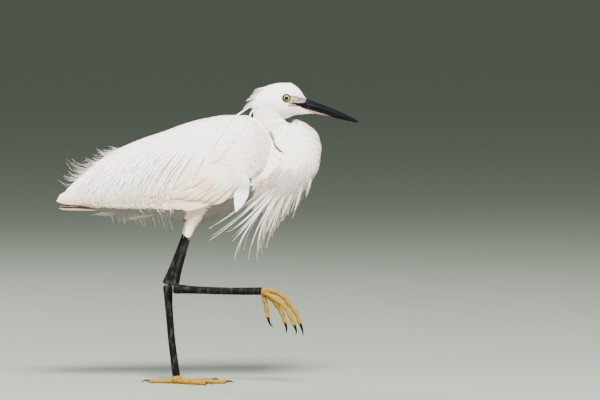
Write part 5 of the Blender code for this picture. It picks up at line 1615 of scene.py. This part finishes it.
black_leg = scaled_skin(
    "black_scaled_skin", (0.0030, 0.0028, 0.0030), (0.052, 0.049, 0.048), 420, 0.60, (1, 1, 0.35))
standing_ankle = np.array([-0.0122, 0.010, 0.1286])
lifted_ankle = np.array([-0.0026, -0.0165, 0.1286])
lifted_palm = np.array([0.1125, -0.0175, 0.1192])


def place_in_plate(rows, spacing):
    """How far each ring lies within its plate, from 0 to 1, for a row of plates of the given length."""
    run = np.concatenate([[0], np.cumsum(np.linalg.norm(np.diff(rows[:, :3], axis=0), axis=1))])
    return (run / spacing) % 1


def leg_bone(name, stations, node):
    """A leg bone under skin, its front cut into a row of plates."""
    sides = 28
    rings, rows, _ = limb_rings(stations, sides, 14)
    turn = np.linspace(0, 2 * np.pi, sides, endpoint=False)
    rise = 0.00012 * (0.5 - place_in_plate(rows, 0.0032))[:, None] * (0.35 + 0.65 * np.abs(np.sin(turn)))
    rings = rings + unit(rings - rows[:, None, :3]) * rise[..., None]
    made = ring_object(name, rings, rows[0, :3], rows[-1, :3], black_leg)
    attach(made, "root")
    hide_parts(node)


def between(start, end, sizes, bend=(0, 0, 0)):
    """Stations from start to end at the shares, depths and breadths in sizes, bowed by bend."""
    start, end, bend = np.array(start), np.array(end), np.array(bend)
    stations = []
    for s, deep, broad in sizes:
        stations.append((*(start * (1 - s) + end * s + bend * math.sin(math.pi * s)), deep, broad))
    return stations


shin_sizes = [
    (-0.04, 0.0040, 0.0036), (0.0, 0.0043, 0.0038), (0.35, 0.0044, 0.0037), (0.7, 0.0047, 0.0038),
    (0.88, 0.0056, 0.0046), (1.0, 0.0060, 0.0052), (1.03, 0.0050, 0.0044),
]
leg_bone("right_shin", between((0.0150, -0.0168, 0.1925), lifted_ankle, shin_sizes), "shin_right")
leg_bone("left_shin", between((0.0123, 0.0155, 0.1925), standing_ankle, shin_sizes), "shin_left")
shank_sizes = [
    (-0.03, 0.0050, 0.0044), (0.0, 0.0062, 0.0054), (0.09, 0.0055, 0.0047), (0.25, 0.0048, 0.0038),
    (0.6, 0.0046, 0.0036), (0.92, 0.0048, 0.0040), (1.0, 0.0049, 0.0043),
]
lifted_shank = between(
    lifted_ankle + [0.0022, 0, -0.0060], lifted_palm + [-0.0015, 0, 0.0006], shank_sizes, (0, 0, -0.0012))
standing_shank = between(
    standing_ankle + [0.0008, 0, -0.0062], (-0.0004, 0, 0.0100), shank_sizes, (-0.0016, 0, 0))
leg_bone("right_shank", lifted_shank, "shank_right")
leg_bone("left_shank", standing_shank, "shank_left")


# The feet: mustard yellow toes with a swollen pad at each joint, narrow plates on top and dark horn claws.
# The left foot rests flat on the floor, and the right one hangs half closed.
yellow_skin = scaled_skin(
    "yellow_toe_skin", (0.34, 0.185, 0.011), (0.15, 0.088, 0.014), 620, 0.60, (1, 1, 1))
dark_horn = horn("claw_horn", (0.045, 0.035, 0.028), 0.10, 0.38)
toe_radius = 0.0031
claw_radius = 0.0017


def toe(points, joints, ground=None):
    """Rings of one toe: pads at the joints below, plates across the top, and a flat sole where it stands."""
    path = through(points, 12)
    share = np.linspace(0, 1, len(path))
    swell = 1 + 0.13 * np.cos(2 * np.pi * share * joints)
    size = toe_radius * (1 - 0.18 * share) * swell
    stations = np.column_stack([path, size, size * 0.94])
    sides = 18
    rings, rows, along = limb_rings(stations, sides, 1)
    turn = np.linspace(0, 2 * np.pi, sides, endpoint=False)
    rise = 0.00034 * (0.5 - place_in_plate(rows, 0.0019))[:, None] * np.abs(np.sin(turn))
    rings = rings + unit(rings - rows[:, None, :3]) * rise[..., None]
    tip = rows[-1, :3] + along[-1] * size[-1] * 0.55
    cap = rows[-1, :3] + (rings[-1] - rows[-1, :3]) * 0.72 + along[-1] * size[-1] * 0.35
    rings = np.concatenate([rings, cap[None]])
    if ground is not None:
        rings[..., 2] = np.maximum(rings[..., 2], ground)
        tip[2] = max(tip[2], ground + 0.0005)
    return rings, rows[0, :3] - along[0] * 0.001, tip


def foot(name, toes, palm, palm_size, node, ground=None):
    """The toes, each a path and its number of joints, on a round palm."""
    parts = [ring_object("toe", *toe(path, joints, ground)) for path, joints in toes]
    pad = bmesh.new()
    bmesh.ops.create_icosphere(pad, subdivisions=4, radius=1)
    bmesh.ops.scale(pad, verts=pad.verts, vec=palm_size)
    bmesh.ops.translate(pad, verts=pad.verts, vec=palm)
    if ground is not None:
        for vertex in pad.verts:
            vertex.co.z = max(vertex.co.z, ground)
    for part in parts:
        pad.from_mesh(part.data)
        bpy.data.objects.remove(part)
    made = mesh_object(name, [], [], yellow_skin)
    pad.to_mesh(made.data)
    pad.free()
    made.data.shade_smooth()
    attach(made, "root")
    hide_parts(node)


def claw(name, path, node):
    """A curved, pointed horn claw that grips the end of its toe."""
    rows = through(path, 8)
    taper = np.linspace(1, 0, len(rows)) ** 0.75
    deep, broad = claw_radius * taper + 0.00012, 0.78 * claw_radius * taper + 0.00010
    rings, rows, along = limb_rings(np.column_stack([rows, deep, broad]), 14, 1)
    rings[..., 2] = np.maximum(rings[..., 2], 0.0002)
    root_end, tip_end = rows[0, :3] - along[0] * 0.0004, rows[-1, :3] + along[-1] * 0.0003
    made = ring_object(name, rings, root_end, tip_end, dark_horn)
    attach(made, "root")
    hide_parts(node)


lifted_toes = {
    "middle": [
        (0, 0, 0.0014), (0.0118, 0.0008, 0.0000), (0.0248, 0.0012, -0.0072), (0.0293, 0.0014, -0.0137),
        (0.0392, 0.0014, -0.0261), (0.0455, 0.0012, -0.0405),
    ],
    "outer": [
        (0.0005, -0.002, -0.001), (0.0143, -0.0085, -0.0091), (0.0262, -0.0125, -0.0190),
        (0.0330, -0.0145, -0.0301), (0.0382, -0.0150, -0.0415),
    ],
    "inner": [
        (0.0005, 0.002, -0.001), (0.0085, 0.0080, -0.0090), (0.0156, 0.0125, -0.0177),
        (0.0222, 0.0150, -0.0288), (0.0265, 0.0155, -0.0410),
    ],
    "hind": [
        (-0.0012, 0.001, -0.002), (0.0008, 0.0020, -0.0120), (0.0028, 0.0030, -0.0225),
        (0.0044, 0.0035, -0.0325),
    ],
}
lifted_claws = {
    "middle": ((0.0460, 0.0012, -0.0415), (0.0488, 0.0012, -0.0500), (0.0498, 0.0012, -0.0570)),
    "outer": ((0.0386, -0.0150, -0.0425), (0.0408, -0.0152, -0.0490), (0.0402, -0.0152, -0.0545)),
    "inner": ((0.0269, 0.0155, -0.0420), (0.0284, 0.0155, -0.0490), (0.0276, 0.0155, -0.0545)),
    "hind": ((0.0046, 0.0036, -0.0335), (0.0072, 0.0036, -0.0415), (0.0122, 0.0036, -0.0462)),
}
hanging_toes = [(lifted_palm + np.array(path), len(path) - 1) for path in lifted_toes.values()]
foot("right_foot", hanging_toes, lifted_palm, (0.0062, 0.0056, 0.0058), "foot_right")
for label, path in lifted_claws.items():
    claw("right_claw_" + label, lifted_palm + np.array(path), "claw_right_" + label)

standing_toes = {"middle": (0.062, -4), "outer": (0.053, 33), "inner": (0.047, -38), "hind": (0.035, 168)}
floor_toes = []
for label, (length, heading) in standing_toes.items():
    ahead = np.array([math.cos(math.radians(heading)), math.sin(math.radians(heading)), 0])
    path = []
    for s in (0.0, 0.30, 0.58, 0.82, 1.0):
        path.append(ahead * length * s + np.array([0, 0, toe_radius * (1.0 - 0.18 * s) - 0.0002]))
    floor_toes.append((np.array(path), 4))
    grip = []
    for reach, z in ((0.0005, 0.0030), (0.0070, 0.0034), (0.0122, 0.0012)):
        grip.append(ahead * (length + reach) + np.array([0, 0, z]))
    claw("left_claw_" + label, grip, "claw_left_" + label)
foot("left_foot", floor_toes, (0, 0, 0.0052), (0.0066, 0.0062, 0.0062), "foot_left", 0.0)
